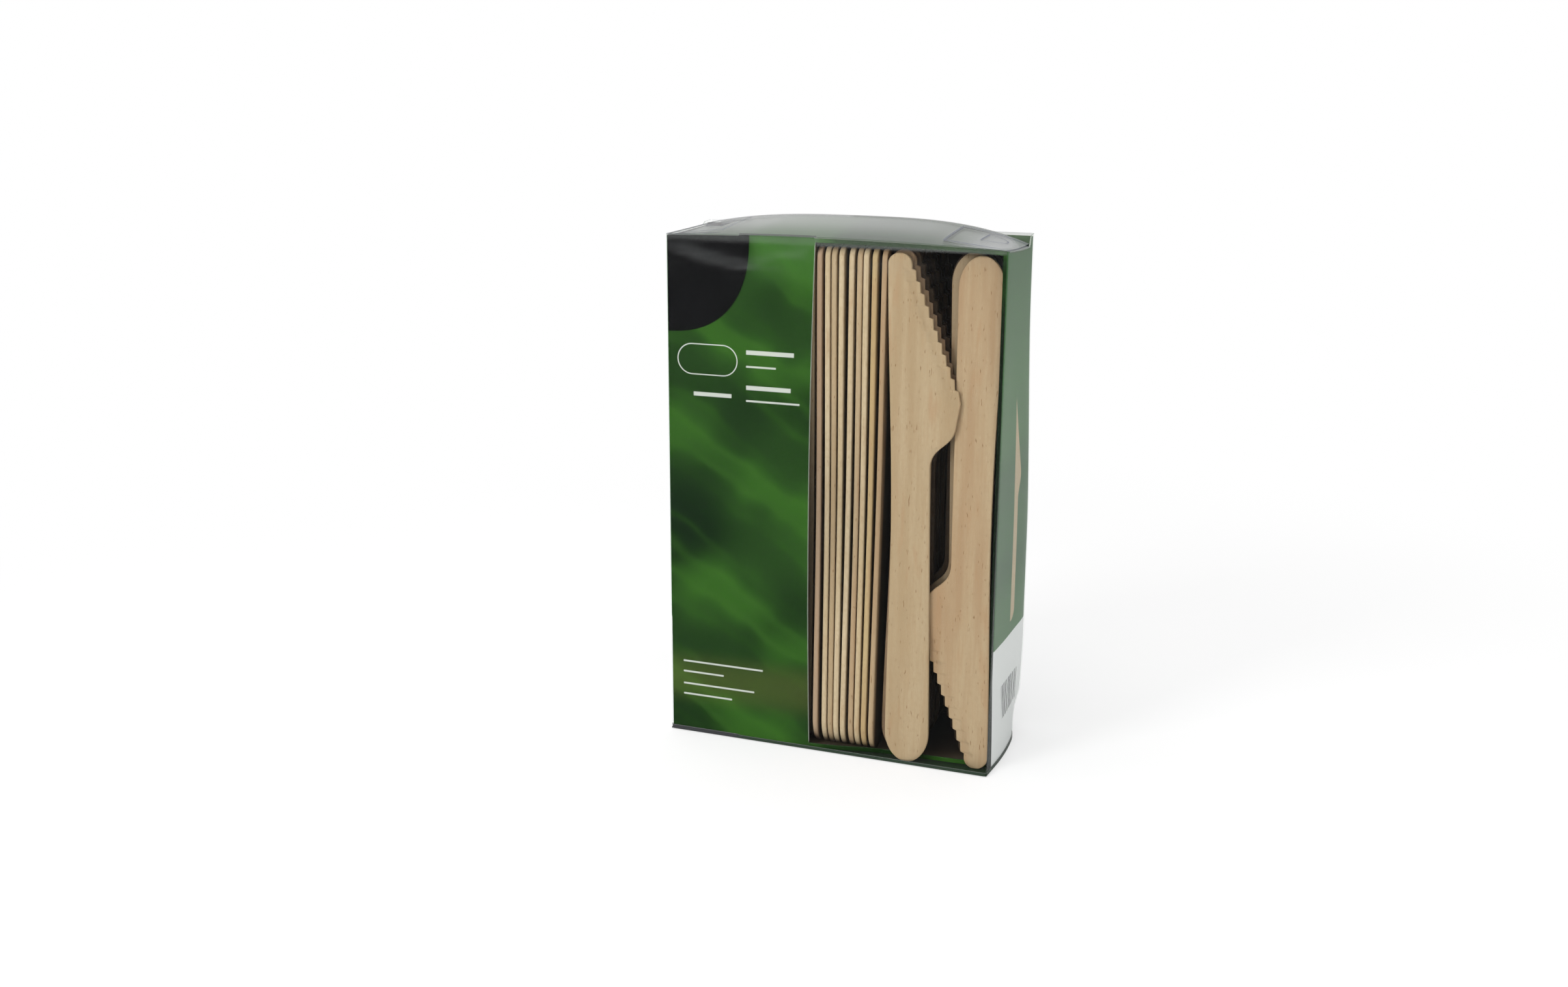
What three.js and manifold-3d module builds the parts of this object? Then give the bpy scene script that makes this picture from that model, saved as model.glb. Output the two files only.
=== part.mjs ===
// A pack of one hundred wooden knives in a clear folding carton with a printed card liner.
// Millimetres, +Z up, X across the front, front face towards -Y, standing on z = 0.
import * as THREE from "three";
import { mergeVertices } from "three/addons/utils/BufferGeometryUtils.js";
import Module from "manifold-3d";

// Knife, as stamped from birch veneer. Widths are measured from the spine line.
const knifeLength = 165;
const knifeThickness = 1.6;
const bellyWidth = 23.4; // widest point of the blade
const bellyFromTip = 46;
const handleWidth = 14.6;
const handleNarrowing = 0.6; // the handle is this much slimmer at the neck
const neckFromTip = 67;
const neckRun = 10; // length of the curve between neck and belly
const tipWidth = 7.6;
const tipRound = 3.4; // length of the rounded blade tip
const handleEndRound = 10; // length of the rounded handle end
const spineDip = 1.5; // the spine is hollow by this much at its middle
const toothCount = 11;
const toothPitch = 3.7;
const toothDepth = 1.2;

// Counts: 9 + 7 x 4 + 10 x 4 + 23 = 100 knives.
const bundleSize = 4; // pressed knives that share one solid
const frontBundles = 7;
const backBundles = 10;
const stackCount = 23;
// Free space beside each knife of the window row, at its foot and at its top.
const footGaps = [0.9, 1.5, 0.5, 0.3, 0.7, 1.2, 0.5, 0.7, 0.9];
const topGaps = [0.2, 1.0, 0.5, 0.8, 1.7, 1.0, 0.4, 1.2, 1.5];

// Sheets.
const film = 0.25; // clear film of the carton
const card = 0.4; // printed card liner
const filmGap = 0.2; // card to film at the front and the sides
const backGap = 0.5; // card to film at the back, where the bottom tongue lies
const layerGap = 0.1; // between layers that lie on each other
const restGap = 0.1; // under a knife's foot
const rowGap = 0.15; // beside a row or a stack
const nestGap = 0.3; // between the front row's blades and the back row's handles
const bundleGap = 0.6;
const slotGap = 0.07; // between stacked knives at their tops
const stackOverlap = 1.4; // a stacked blade lies this far over its neighbour's handle
const stackShift = 1.4; // how far the stacked knives stray sideways
const stackDrift = 2.4; // the right-hand knives behind the slipped one sit this much further left
const slippedLean = 3.1; // the first slipped knife's foot stands this far to the right of its tip
const tongueSlot = 1.2; // room behind the knives for the lid's tongue

// Card liner.
const windowFromMiddle = 5.4; // the window starts this far left of the middle
const windowBow = 1.2;
const windowRound = 4;
const topStrip = 1.6;
const bottomStrip = 2.1;
const foldRound = 0.8;
const tabWidth = 25;
const tabRise = 0.7;
const tabDrop = 0.3;
const topPanelHalf = 44; // half width of the card's top panel
const topPanelShoulder = 5; // it is full width down to here, behind the front
const topPanelRound = 5;

// Carton.
const cornerRound = 1.2;
const bulge = 5.6; // the front wall's bottom right corner is pushed out by this much
const flapLength = 22;
const flapFrontInset = 2.5;
const flapTaper = 5.5;
const flapGap = 0.18; // dust flap to lid
const flapBackInset = 5;
const flapNotchLength = 6;
const flapNotchDepth = 4;
const bottomTongue = 12;
const notchRadius = 4;
const notchCut = 0.4;

// Lid.
const lidCrest = 3.6; // the lid's middle stands this much above its front fold
const lidDropLeft = 0.5; // its back corners sit this much below
const lidDropRight = 3.2;
const lidTaper = 0.8; // each side edge runs in by this much towards the back
const lidSideGap = 0.35;
const hingeGap = 0.3;
const tongueLength = 8;
const tongueInset = 3;
const tongueRound = 6;
const tongueGap = 0.2;

// Sizes that follow. Depth d is counted from the carton's flat front, so y = d - midDepth.
const bundleThickness = bundleSize * knifeThickness;
const windowCount = footGaps.length;
const sum = (list) => list.reduce((a, b) => a + b, 0);
const windowRow = windowCount * knifeThickness + Math.max(sum(footGaps), sum(topGaps));
const leftWidth = frontBundles * (bundleThickness + bundleGap) + windowRow + rowGap;
const stackWidth = bellyWidth + handleWidth - stackOverlap;
const innerWidth = leftWidth + stackWidth + 2 * rowGap;
const halfInner = innerWidth / 2;
const width = innerWidth + 2 * (card + filmGap + film);
const slot = knifeThickness + slotGap;
const nestDepth = bellyWidth + handleWidth + nestGap;
const innerDepth = Math.max(nestDepth, stackCount * slot) + 2 * rowGap + tongueSlot;
const cardFront = film + filmGap;
const innerFront = cardFront + card;
const innerBack = innerFront + innerDepth;
const cardBack = innerBack + card;
const depth = cardBack + backGap + film;
const midDepth = (depth - bulge) / 2;
const cardBottom = 2 * film + restGap + layerGap;
const floorZ = cardBottom + card + restGap;
const knifeTop = floorZ + knifeLength;
const cardTop = knifeTop + layerGap + card;
const height = cardTop + flapGap + layerGap + 2 * film + lidDropLeft;
const halfWidth = width / 2;
const filmBack = depth - film;
const leftEdge = -halfInner + rowGap;
const stackLeft = leftEdge + leftWidth;
const stackRight = stackLeft + stackWidth;

const wasm = await Module();
wasm.setup();

// Solids for cutting and joining
function toSolid(geometry) {
  const bare = new THREE.BufferGeometry();
  bare.setAttribute("position", geometry.getAttribute("position"));
  if (geometry.index) bare.setIndex(geometry.index);
  const merged = mergeVertices(bare, 1e-4);
  return new wasm.Manifold(
    new wasm.Mesh({
      numProp: 3,
      vertProperties: new Float32Array(merged.attributes.position.array),
      triVerts: new Uint32Array(merged.index.array),
    }),
  );
}

function toGeometry(solid) {
  const mesh = solid.getMesh();
  const geometry = new THREE.BufferGeometry();
  geometry.setAttribute("position", new THREE.BufferAttribute(mesh.vertProperties, 3));
  geometry.setIndex(new THREE.BufferAttribute(mesh.triVerts, 1));
  geometry.computeVertexNormals();
  return geometry;
}

function join(...geometries) {
  return geometries.map(toSolid).reduce((a, b) => a.add(b));
}

// A flat plate or block between two corners
function block(x0, x1, d0, d1, z0, z1) {
  const box = new THREE.BoxGeometry(x1 - x0, d1 - d0, z1 - z0);
  return box.translate((x0 + x1) / 2, (d0 + d1) / 2, (z0 + z1) / 2);
}

// An upright prism over a plan drawn in x and d
function prism(plan, z0, z1) {
  const made = new THREE.ExtrudeGeometry(plan, { depth: z1 - z0, bevelEnabled: false, curveSegments: 3 });
  return made.translate(0, 0, z0);
}

// A slab cut through the front, from an outline drawn in x and z
function frontCut(outline, d0, d1) {
  const made = new THREE.ExtrudeGeometry(outline, { depth: d1 - d0, bevelEnabled: false, curveSegments: 4 });
  return made.rotateX(Math.PI / 2).translate(0, d1, 0);
}

function roundedPlan(x0, x1, d0, d1, r) {
  const plan = new THREE.Shape();
  plan.moveTo(x0 + r, d0).lineTo(x1 - r, d0);
  plan.absarc(x1 - r, d0 + r, r, -Math.PI / 2, 0).lineTo(x1, d1 - r);
  plan.absarc(x1 - r, d1 - r, r, 0, Math.PI / 2).lineTo(x0 + r, d1);
  plan.absarc(x0 + r, d1 - r, r, Math.PI / 2, Math.PI).lineTo(x0, d0 + r);
  plan.absarc(x0 + r, d0 + r, r, Math.PI, 1.5 * Math.PI);
  return plan;
}

// A closed thin solid between two grids of points, outer(i, j) and inner(i, j)
function shell(columns, rows, outer, inner) {
  const points = [];
  const triangles = [];
  const at = (side, i, j) => (side * (columns + 1) + i) * (rows + 1) + j;
  for (const face of [outer, inner])
    for (let i = 0; i <= columns; i++)
      for (let j = 0; j <= rows; j++) points.push(...face(i, j));
  const quad = (a, b, c, d) => triangles.push(a, b, c, a, c, d);
  for (let i = 0; i < columns; i++)
    for (let j = 0; j < rows; j++) {
      quad(at(0, i, j), at(0, i + 1, j), at(0, i + 1, j + 1), at(0, i, j + 1));
      quad(at(1, i, j), at(1, i, j + 1), at(1, i + 1, j + 1), at(1, i + 1, j));
    }
  for (let i = 0; i < columns; i++) {
    quad(at(0, i, 0), at(1, i, 0), at(1, i + 1, 0), at(0, i + 1, 0));
    quad(at(0, i + 1, rows), at(1, i + 1, rows), at(1, i, rows), at(0, i, rows));
  }
  for (let j = 0; j < rows; j++) {
    quad(at(0, 0, j + 1), at(1, 0, j + 1), at(1, 0, j), at(0, 0, j));
    quad(at(0, columns, j), at(1, columns, j), at(1, columns, j + 1), at(0, columns, j + 1));
  }
  const geometry = new THREE.BufferGeometry();
  geometry.setAttribute("position", new THREE.Float32BufferAttribute(points, 3));
  geometry.setIndex(triangles);
  return geometry;
}

const smooth = (t) => {
  const s = Math.min(1, Math.max(0, t));
  return s * s * (3 - 2 * s);
};
const mix = (a, b, t) => a + (b - a) * t;

// Knife outline: x runs from the spine to the cutting edge, y from the handle's end up to the tip
function knifeOutline() {
  const outline = new THREE.Shape();
  const up = (fromTip) => knifeLength - fromTip;
  const spineAt = (fromTip) => spineDip * Math.sin((Math.PI * fromTip) / knifeLength) ** 2;
  const neckWidth = handleWidth - handleNarrowing;
  const firstTooth = bellyFromTip - toothPitch;
  const lastTooth = firstTooth - (toothCount - 1) * toothPitch;
  const lastWidth = tipWidth + toothDepth;
  const bellyTooth = bellyWidth - 0.03 * bellyFromTip * 0.5;
  // rounded handle end, a half ellipse
  const middle = handleWidth / 2;
  for (let k = 0; k <= 8; k++) {
    const angle = Math.PI + (Math.PI * k) / 8;
    const x = middle * (1 + Math.cos(angle));
    const y = handleEndRound * (1 + Math.sin(angle));
    if (k) outline.lineTo(x, y);
    else outline.moveTo(x, y);
  }
  // straight edge of the handle, then the hollow and full curves up to the belly
  const curve = new THREE.CubicBezierCurve(
    new THREE.Vector2(neckWidth, up(neckFromTip)),
    new THREE.Vector2(neckWidth, up(neckFromTip - 0.75 * neckRun)),
    new THREE.Vector2(bellyWidth - 2, up(neckFromTip - 0.65 * neckRun)),
    new THREE.Vector2(bellyWidth - 1.2, up(neckFromTip - 1.4 * neckRun)),
  );
  for (const p of curve.getPoints(6)) outline.lineTo(p.x, p.y);
  outline.lineTo(bellyWidth, up(bellyFromTip));
  // saw teeth: each runs almost straight towards the tip, then steps in
  for (let k = 0; k < toothCount; k++) {
    const t = k / (toothCount - 1);
    const corner = mix(bellyTooth, lastWidth, t);
    const at = mix(firstTooth, lastTooth, t);
    outline.lineTo(corner, up(at));
    outline.lineTo(corner - toothDepth, up(at - 0.12 * toothPitch));
  }
  // rounded tip, then the spine back down
  for (let k = 1; k < 6; k++) {
    const angle = (Math.PI * k) / 6;
    const x = (tipWidth / 2) * (1 + Math.cos(angle));
    outline.lineTo(x, up(tipRound * (1 - Math.sin(angle))));
  }
  const spineStart = tipRound;
  const spineEnd = knifeLength - handleEndRound;
  for (let k = 0; k < 8; k++) {
    const fromTip = mix(spineStart, spineEnd, k / 8);
    outline.lineTo(spineAt(fromTip), up(fromTip));
  }
  outline.closePath();
  return outline;
}

// A knife standing on z = 0 with its flat face to the front and its spine on x = 0.
// Blade up, its edge is on the +X side; blade down it is turned half round about Y.
function knifeGeometry(thickness, bladeUp) {
  const made = new THREE.ExtrudeGeometry(knifeOutline(), { depth: thickness, bevelEnabled: false });
  made.rotateX(Math.PI / 2).translate(0, thickness, 0);
  return bladeUp ? made : made.rotateY(Math.PI).translate(0, 0, knifeLength);
}

// Lid surface: a low arch across the width that grows from the straight front fold to the back.
// Its right-hand back corner sags more than the left-hand one.
const lidHalf = halfWidth - film - lidSideGap;
const lidHalfAt = (d) => lidHalf - lidTaper * (d / depth);
const lidRamp = (d) => 1 - (1 - d / depth) ** 1.5;
const lidUnder = (x, d) => {
  const u = Math.max(-1, Math.min(1, x / lidHalfAt(d)));
  const drop = u > 0 ? lidDropRight : lidDropLeft;
  const arch = lidCrest - (lidCrest + drop) * Math.abs(u) ** 3;
  return height - film + arch * lidRamp(d);
};
const flapOver = (x, d) => lidUnder(x, d) - flapGap;

// Front wall of the carton: the loose knives push its foot out, most at the right-hand corner
const bulgeShare = (x) => Math.min(1, Math.max(0, (x + halfWidth) / width));
const frontAt = (x, z) => -bulge * bulgeShare(x) * (1 - Math.min(1, z / height));

// Carton walls as a ring of points [x, d, top], the same ring serving the outside and the inside
function wallRing(inset) {
  const x1 = halfWidth - inset;
  const d1 = depth - inset;
  const r = Math.max(0.3, cornerRound - inset);
  const foldBack = depth - flapNotchLength;
  const ring = [];
  const arc = (cx, cd, start, top) => {
    for (let k = 0; k <= 3; k++) {
      const a = start + (Math.PI / 2) * (k / 3);
      ring.push([cx + r * Math.cos(a), cd + r * Math.sin(a), top]);
    }
  };
  const frontTop = height - film - hingeGap;
  const side = (x, order) => {
    for (const t of order) {
      const d = mix(flapFrontInset, foldBack, t);
      ring.push([x, d, flapOver(Math.sign(x) * lidHalf, d)]);
    }
  };
  const steps = 12;
  arc(-x1 + r, inset + r, Math.PI, frontTop);
  for (let k = 1; k < steps; k++) ring.push([mix(-x1, x1, k / steps), inset, frontTop]);
  arc(x1 - r, inset + r, -Math.PI / 2, frontTop);
  side(x1, [0, 0.5, 1]);
  ring.push([x1, foldBack + 0.4, height]);
  arc(x1 - r, d1 - r, 0, height);
  arc(-x1 + r, d1 - r, Math.PI / 2, height);
  ring.push([-x1, foldBack + 0.4, height]);
  side(-x1, [1, 0.5, 0]);
  return ring;
}

// The ring swept from z0 up to each point's own top, closed into a tube
function cartonWalls(z0) {
  const outside = wallRing(0);
  const inside = wallRing(film);
  const count = outside.length;
  const points = [];
  const triangles = [];
  const place = ([x, d], z) => points.push(x, d + frontShare(d) * frontAt(x, z), z);
  for (let k = 0; k < count; k++) {
    place(outside[k], z0);
    place(outside[k], outside[k][2]);
    place(inside[k], z0);
    place(inside[k], inside[k][2]);
  }
  const quad = (a, b, c, d) => triangles.push(a, b, c, a, c, d);
  for (let k = 0; k < count; k++) {
    const a = 4 * k;
    const b = 4 * ((k + 1) % count);
    quad(a, b, b + 1, a + 1);
    quad(a + 2, a + 3, b + 3, b + 2);
    quad(a + 1, b + 1, b + 3, a + 3);
    quad(a, a + 2, b + 2, b);
  }
  const geometry = new THREE.BufferGeometry();
  geometry.setAttribute("position", new THREE.Float32BufferAttribute(points, 3));
  geometry.setIndex(triangles);
  return geometry;
}
// The swell moves the front wall and its corners, and fades before the side walls' first fold point
const frontShare = (d) => 1 - smooth((d - cornerRound) / (flapFrontInset - cornerRound));

// Bottom panel: the carton's plan at the floor
function cartonFloor() {
  const plan = new THREE.Shape();
  wallRing(0.5 * film).forEach(([x, d], k) => {
    const y = d + frontShare(d) * frontAt(x, 0);
    if (k) plan.lineTo(x, y);
    else plan.moveTo(x, y);
  });
  plan.closePath();
  return prism(plan, 0, film);
}

// Top dust flap of one side (side = -1 or 1), lying just under the lid
function dustFlap(side) {
  const root = halfWidth - 0.5 * film;
  const shoulder = halfWidth - flapNotchDepth;
  const tip = halfWidth - flapLength;
  const edge = lidHalfAt(depth);
  const spread = [0, 1, 2, 3, 4, 5].map((k) => mix(shoulder, tip, k / 5));
  const stations = [root, edge, shoulder + 0.02, ...spread];
  const columns = stations.length - 1;
  const rows = 6;
  const point = (i, j, drop) => {
    const x = stations[i];
    const back = i < 3 ? depth - flapNotchLength : depth - flapBackInset;
    const front = flapFrontInset + (flapTaper * (root - x)) / (root - tip);
    const d = mix(front, back, j / rows);
    return [side * x, d, flapOver(side * Math.min(x, lidHalf), d) - drop];
  };
  const top = (i, j) => point(i, j, 0);
  const under = (i, j) => point(i, j, film);
  return side < 0 ? shell(columns, rows, top, under) : shell(columns, rows, under, top);
}

// Half-moon slit near each dust flap's fold
function flapSlit(side) {
  const x = side * (halfWidth - 2 * notchRadius);
  const d = 0.5 * depth;
  const slit = new THREE.Shape();
  const start = side > 0 ? Math.PI / 2 : -Math.PI / 2;
  slit.absarc(x, d, notchRadius, start, start + Math.PI);
  slit.absarc(x, d, notchRadius - notchCut, start + Math.PI, start, true);
  return prism(slit, height - 10, height + 10);
}

function clearBox() {
  const rootX = halfWidth - 0.5 * film;
  const flapZ = film + restGap;
  const flaps = [-1, 1].map((side) => {
    const x0 = Math.min(side * rootX, side * (halfWidth - flapLength));
    const x1 = Math.max(side * rootX, side * (halfWidth - flapLength));
    return block(x0, x1, flapFrontInset, depth - flapBackInset, flapZ, flapZ + film);
  });
  const tongueX = halfWidth - tongueInset;
  const tongueBack = filmBack - layerGap;
  const tongue = block(-tongueX, tongueX, tongueBack - film, tongueBack, 0.5 * film, bottomTongue);
  const walls = join(cartonWalls(0), cartonFloor(), tongue, ...flaps, dustFlap(-1), dustFlap(1));
  return walls.subtract(toSolid(flapSlit(-1))).subtract(toSolid(flapSlit(1)));
}

// Lid panel and tongue. The tongue follows an arc about the fold, so that it swings clear of the back wall.
const hingeD = 0.5 * film;
const hingeZ = height - 0.5 * film;
const tongueOuter = innerBack - tongueGap - hingeD;

function clearLid() {
  const columns = 24;
  const rows = 8;
  const backAt = (z, radius) => hingeD + Math.sqrt(radius ** 2 - (z - hingeZ) ** 2);
  const panel = (i, j, drop) => {
    const u = mix(-1, 1, i / columns);
    const crest = lidUnder(u * lidHalf, innerBack) + film;
    const end = backAt(crest, tongueOuter - 0.02);
    const d = mix(hingeD + hingeGap, end, j / rows);
    const x = u * lidHalfAt(d);
    return [x, d, lidUnder(x, d) + film - drop];
  };
  const lidPanel = shell(columns, rows, (i, j) => panel(i, j, 0), (i, j) => panel(i, j, film));
  const tongueHalf = lidHalfAt(innerBack) - tongueInset;
  const curves = 4;
  const tongueAt = (i, j, radius) => {
    const x = mix(-tongueHalf, tongueHalf, i / columns);
    const past = Math.max(0, Math.abs(x) - (tongueHalf - tongueRound));
    const lift = tongueRound - Math.sqrt(Math.max(0, tongueRound ** 2 - past ** 2));
    const top = lidUnder(x, innerBack) + 0.6 * film;
    const z = mix(top, top - tongueLength + lift, j / curves);
    return [x, backAt(z, radius), z];
  };
  const outer = (i, j) => tongueAt(i, j, tongueOuter);
  const inner = (i, j) => tongueAt(i, j, tongueOuter - film);
  const lidTongue = shell(columns, curves, outer, inner);
  return toSolid(lidPanel).add(toSolid(lidTongue));
}

// Card liner: a folded sleeve with ends, its front open to the right as a window
function printedCard() {
  const half = halfInner + card;
  const hull = prism(roundedPlan(-half, half, cardFront, cardBack, foldRound), cardBottom, cardTop);
  const hollow = block(-halfInner, halfInner, innerFront, innerBack, cardBottom + card, cardTop - card);
  const left = -windowFromMiddle;
  const low = cardBottom + bottomStrip;
  const high = cardTop - topStrip;
  const opening = new THREE.Shape();
  opening.moveTo(left, low).lineTo(halfInner - windowRound, low);
  opening.absarc(halfInner - windowRound, low + windowRound, windowRound, -Math.PI / 2, 0);
  opening.absarc(halfInner - windowRound, high - windowRound, windowRound, 0, Math.PI / 2);
  opening.lineTo(left, high);
  opening.quadraticCurveTo(left - 2 * windowBow, (low + high) / 2, left, low);
  const tabLeft = left - tabWidth;
  const tabRight = left - 0.4;
  // the top panel's ends are free and rounded, and the side walls slope down under the lid
  const endCut = (side) => {
    const edge = side * topPanelHalf;
    const out = side * (half + 1);
    const r = topPanelRound;
    const plan = new THREE.Shape();
    plan.moveTo(out, topPanelShoulder).lineTo(out, innerBack).lineTo(edge, innerBack);
    plan.lineTo(edge, topPanelShoulder + r);
    plan.quadraticCurveTo(edge, topPanelShoulder, edge + side * r, topPanelShoulder);
    plan.closePath();
    return prism(plan, cardTop - card - 0.05, cardTop + 1);
  };
  const sideCut = (side) => {
    const profile = new THREE.Shape();
    const slope = (d) => flapOver(side * lidHalf, d) - film - layerGap;
    profile.moveTo(innerFront, cardTop + 1);
    for (let k = 0; k <= 6; k++) {
      const d = mix(innerFront, depth - flapNotchLength, k / 6);
      profile.lineTo(d, Math.min(cardTop + 0.5, slope(d)));
    }
    profile.lineTo(depth - flapNotchLength, cardTop + 1);
    profile.closePath();
    const slab = new THREE.ExtrudeGeometry(profile, { depth: card + 1, bevelEnabled: false });
    slab.rotateY(Math.PI / 2).rotateX(Math.PI / 2);
    return slab.translate(side > 0 ? halfInner - 0.2 : -half - 0.8, 0, 0);
  };
  const backEdge = block(-half - 1, half + 1, innerBack - tongueSlot, innerBack, cardTop - card - 0.05, cardTop + 1);
  const upperTab = block(tabLeft, tabRight, cardFront, innerFront, cardTop - 2, cardTop + tabRise);
  const lowerTab = block(tabLeft, tabRight, cardFront, innerFront, cardBottom - tabDrop, cardBottom + 2);
  return join(hull, upperTab, lowerTab)
    .subtract(toSolid(hollow))
    .subtract(toSolid(frontCut(opening, 0, innerFront + 0.05)))
    .subtract(toSolid(endCut(-1)))
    .subtract(toSolid(endCut(1)))
    .subtract(toSolid(sideCut(-1)))
    .subtract(toSolid(sideCut(1)))
    .subtract(toSolid(backEdge));
}

// Materials
const clearFilm = () =>
  new THREE.MeshStandardMaterial({
    color: 0xdde4e2,
    roughness: 0.08,
    metalness: 0,
    transparent: true,
    opacity: 0.3,
    side: THREE.DoubleSide,
  });
const greenCard = new THREE.MeshStandardMaterial({ color: 0x2c6b22, roughness: 0.4, metalness: 0 });
const birch = (k) => {
  const tone = new THREE.Color(0xd3bb92);
  tone.offsetHSL(0.012 * Math.sin(2.1 * k), 0.05 * Math.sin(3.7 * k), 0.035 * Math.sin(5.3 * k));
  return new THREE.MeshStandardMaterial({ color: tone, roughness: 0.7, metalness: 0 });
};

function node(name, geometry, material) {
  const mesh = new THREE.Mesh(geometry, material);
  mesh.name = name;
  return mesh;
}

const pack = new THREE.Group();
pack.name = "cutlery_pack";
pack.position.y = -midDepth;
pack.add(node("clear_box", toGeometry(clearBox()), clearFilm()));
pack.add(node("clear_lid", toGeometry(clearLid()), clearFilm()));
pack.add(node("printed_card", toGeometry(printedCard()), greenCard));

const knifeUp = knifeGeometry(knifeThickness, true);
const knifeDown = knifeGeometry(knifeThickness, false);
const bundleUp = knifeGeometry(bundleThickness, true);
const bundleDown = knifeGeometry(bundleThickness, false);
const rowFront = innerFront + rowGap;
const rowBack = innerBack - rowGap - tongueSlot;
const edgeOn = Math.PI / 2;

// Hidden front rows behind the printed panel, on edge, spines to the front
for (let k = 0; k < frontBundles; k++) {
  const bundle = node(`knife_bundle_front_${k + 1}`, bundleUp, birch(k));
  bundle.rotation.z = edgeOn;
  bundle.position.set(leftEdge + k * (bundleThickness + bundleGap) + bundleThickness, rowFront, floorZ);
  pack.add(bundle);
}

// Back rows, nested head to tail with the front ones, spines to the back
const backPitch = (leftWidth - rowGap - bundleThickness) / (backBundles - 1);
for (let k = 0; k < backBundles; k++) {
  const bundle = node(`knife_bundle_back_${k + 1}`, bundleDown, birch(k + 20));
  bundle.rotation.z = edgeOn;
  bundle.position.set(leftEdge + k * backPitch + bundleThickness, rowBack, floorZ);
  pack.add(bundle);
}

// Window row: single knives on edge, each leaning a little
let foot = leftEdge + frontBundles * (bundleThickness + bundleGap);
let top = foot;
for (let k = 0; k < windowCount; k++) {
  foot += footGaps[k] + knifeThickness;
  top += topGaps[k] + knifeThickness;
  const knife = node(`window_knife_${k + 1}`, knifeUp, birch(k + 7));
  knife.rotation.z = edgeOn;
  knife.rotation.y = Math.asin((top - foot) / knifeLength);
  knife.position.set(foot, rowFront, floorZ);
  pack.add(knife);
}

// Right-hand stack, flat faces to the front, alternately blade up and blade down.
// The first two have slipped in front of the card's bottom strip and lean back.
const stray = (k) => 0.5 * stackShift * (1 - Math.cos(2.4 * k));
const lastSlot = rowBack - knifeThickness;
const slippedFoot = film + layerGap - bulge * bulgeShare(stackLeft + slippedLean);
for (let k = 0; k < stackCount; k++) {
  const bladeUp = k % 2 === 0;
  const slipped = k < 2;
  const topDepth = mix(rowFront, lastSlot, k / (stackCount - 1));
  const footDepth = slipped
    ? slippedFoot + k * slot
    : mix(rowFront, lastSlot, (k - 2) / (stackCount - 3));
  const knife = node(`stacked_knife_${k + 1}`, bladeUp ? knifeUp : knifeDown, birch(k + 40));
  knife.rotation.x = -Math.asin((topDepth - footDepth) / knifeLength);
  if (k === 0) knife.rotation.y = -Math.asin(slippedLean / knifeLength);
  const leftX = stackLeft + (k === 0 ? slippedLean : stray(k));
  const rightX = stackRight - (slipped ? 0 : stackDrift) - stray(k - 1);
  knife.position.set(bladeUp ? leftX : rightX, footDepth, slipped ? film + 2 * restGap : floorZ);
  pack.add(knife);
}

export default pack;
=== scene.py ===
import math

import bpy
import numpy as np
from mathutils import Matrix


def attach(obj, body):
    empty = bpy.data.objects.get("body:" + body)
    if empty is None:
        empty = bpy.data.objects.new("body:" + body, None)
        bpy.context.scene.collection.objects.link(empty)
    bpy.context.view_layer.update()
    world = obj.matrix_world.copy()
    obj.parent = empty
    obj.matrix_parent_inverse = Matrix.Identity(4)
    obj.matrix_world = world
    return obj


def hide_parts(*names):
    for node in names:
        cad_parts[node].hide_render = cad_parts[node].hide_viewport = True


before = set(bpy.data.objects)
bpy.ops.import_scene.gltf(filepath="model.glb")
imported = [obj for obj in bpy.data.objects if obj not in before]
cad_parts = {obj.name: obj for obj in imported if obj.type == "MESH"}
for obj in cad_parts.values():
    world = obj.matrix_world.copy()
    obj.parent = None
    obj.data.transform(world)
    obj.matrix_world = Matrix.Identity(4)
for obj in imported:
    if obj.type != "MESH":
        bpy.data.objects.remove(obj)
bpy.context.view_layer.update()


# Camera
# Fitted to the carton's corners and to the two knives that stand flat to the front.
# Yaw turns to the right and pitch looks down, in degrees. The place is in metres.
PHOTO_WIDTH_PX, FOCAL_PX, SENSOR_MM = 2408, 2770.9, 36
YAW, PITCH, ROLL = -18.117, 15.329, -0.213
CAMERA_PLACE = (0.15908, -0.5507, 0.23992)
camera = bpy.data.objects.new("camera", bpy.data.cameras.new("camera"))
bpy.context.scene.collection.objects.link(camera)
bpy.context.scene.camera = camera
bpy.context.scene.view_settings.view_transform = "Standard"
camera.data.sensor_width = SENSOR_MM
camera.data.lens = FOCAL_PX / PHOTO_WIDTH_PX * SENSOR_MM
camera.data.clip_start, camera.data.clip_end = 0.01, 20
yaw, pitch, roll = (math.radians(angle) for angle in (YAW, PITCH, ROLL))
forward = np.array([
    math.sin(yaw) * math.cos(pitch), math.cos(yaw) * math.cos(pitch), -math.sin(pitch)
])
level = np.array([math.cos(yaw), -math.sin(yaw), 0.0])
down = np.cross(forward, level)
right = math.cos(roll) * level + math.sin(roll) * down
down = math.cos(roll) * down - math.sin(roll) * level
turn = Matrix(np.stack([right, -down, -forward], 1).tolist()).to_4x4()
camera.matrix_world = Matrix.Translation(CAMERA_PLACE) @ turn


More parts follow.
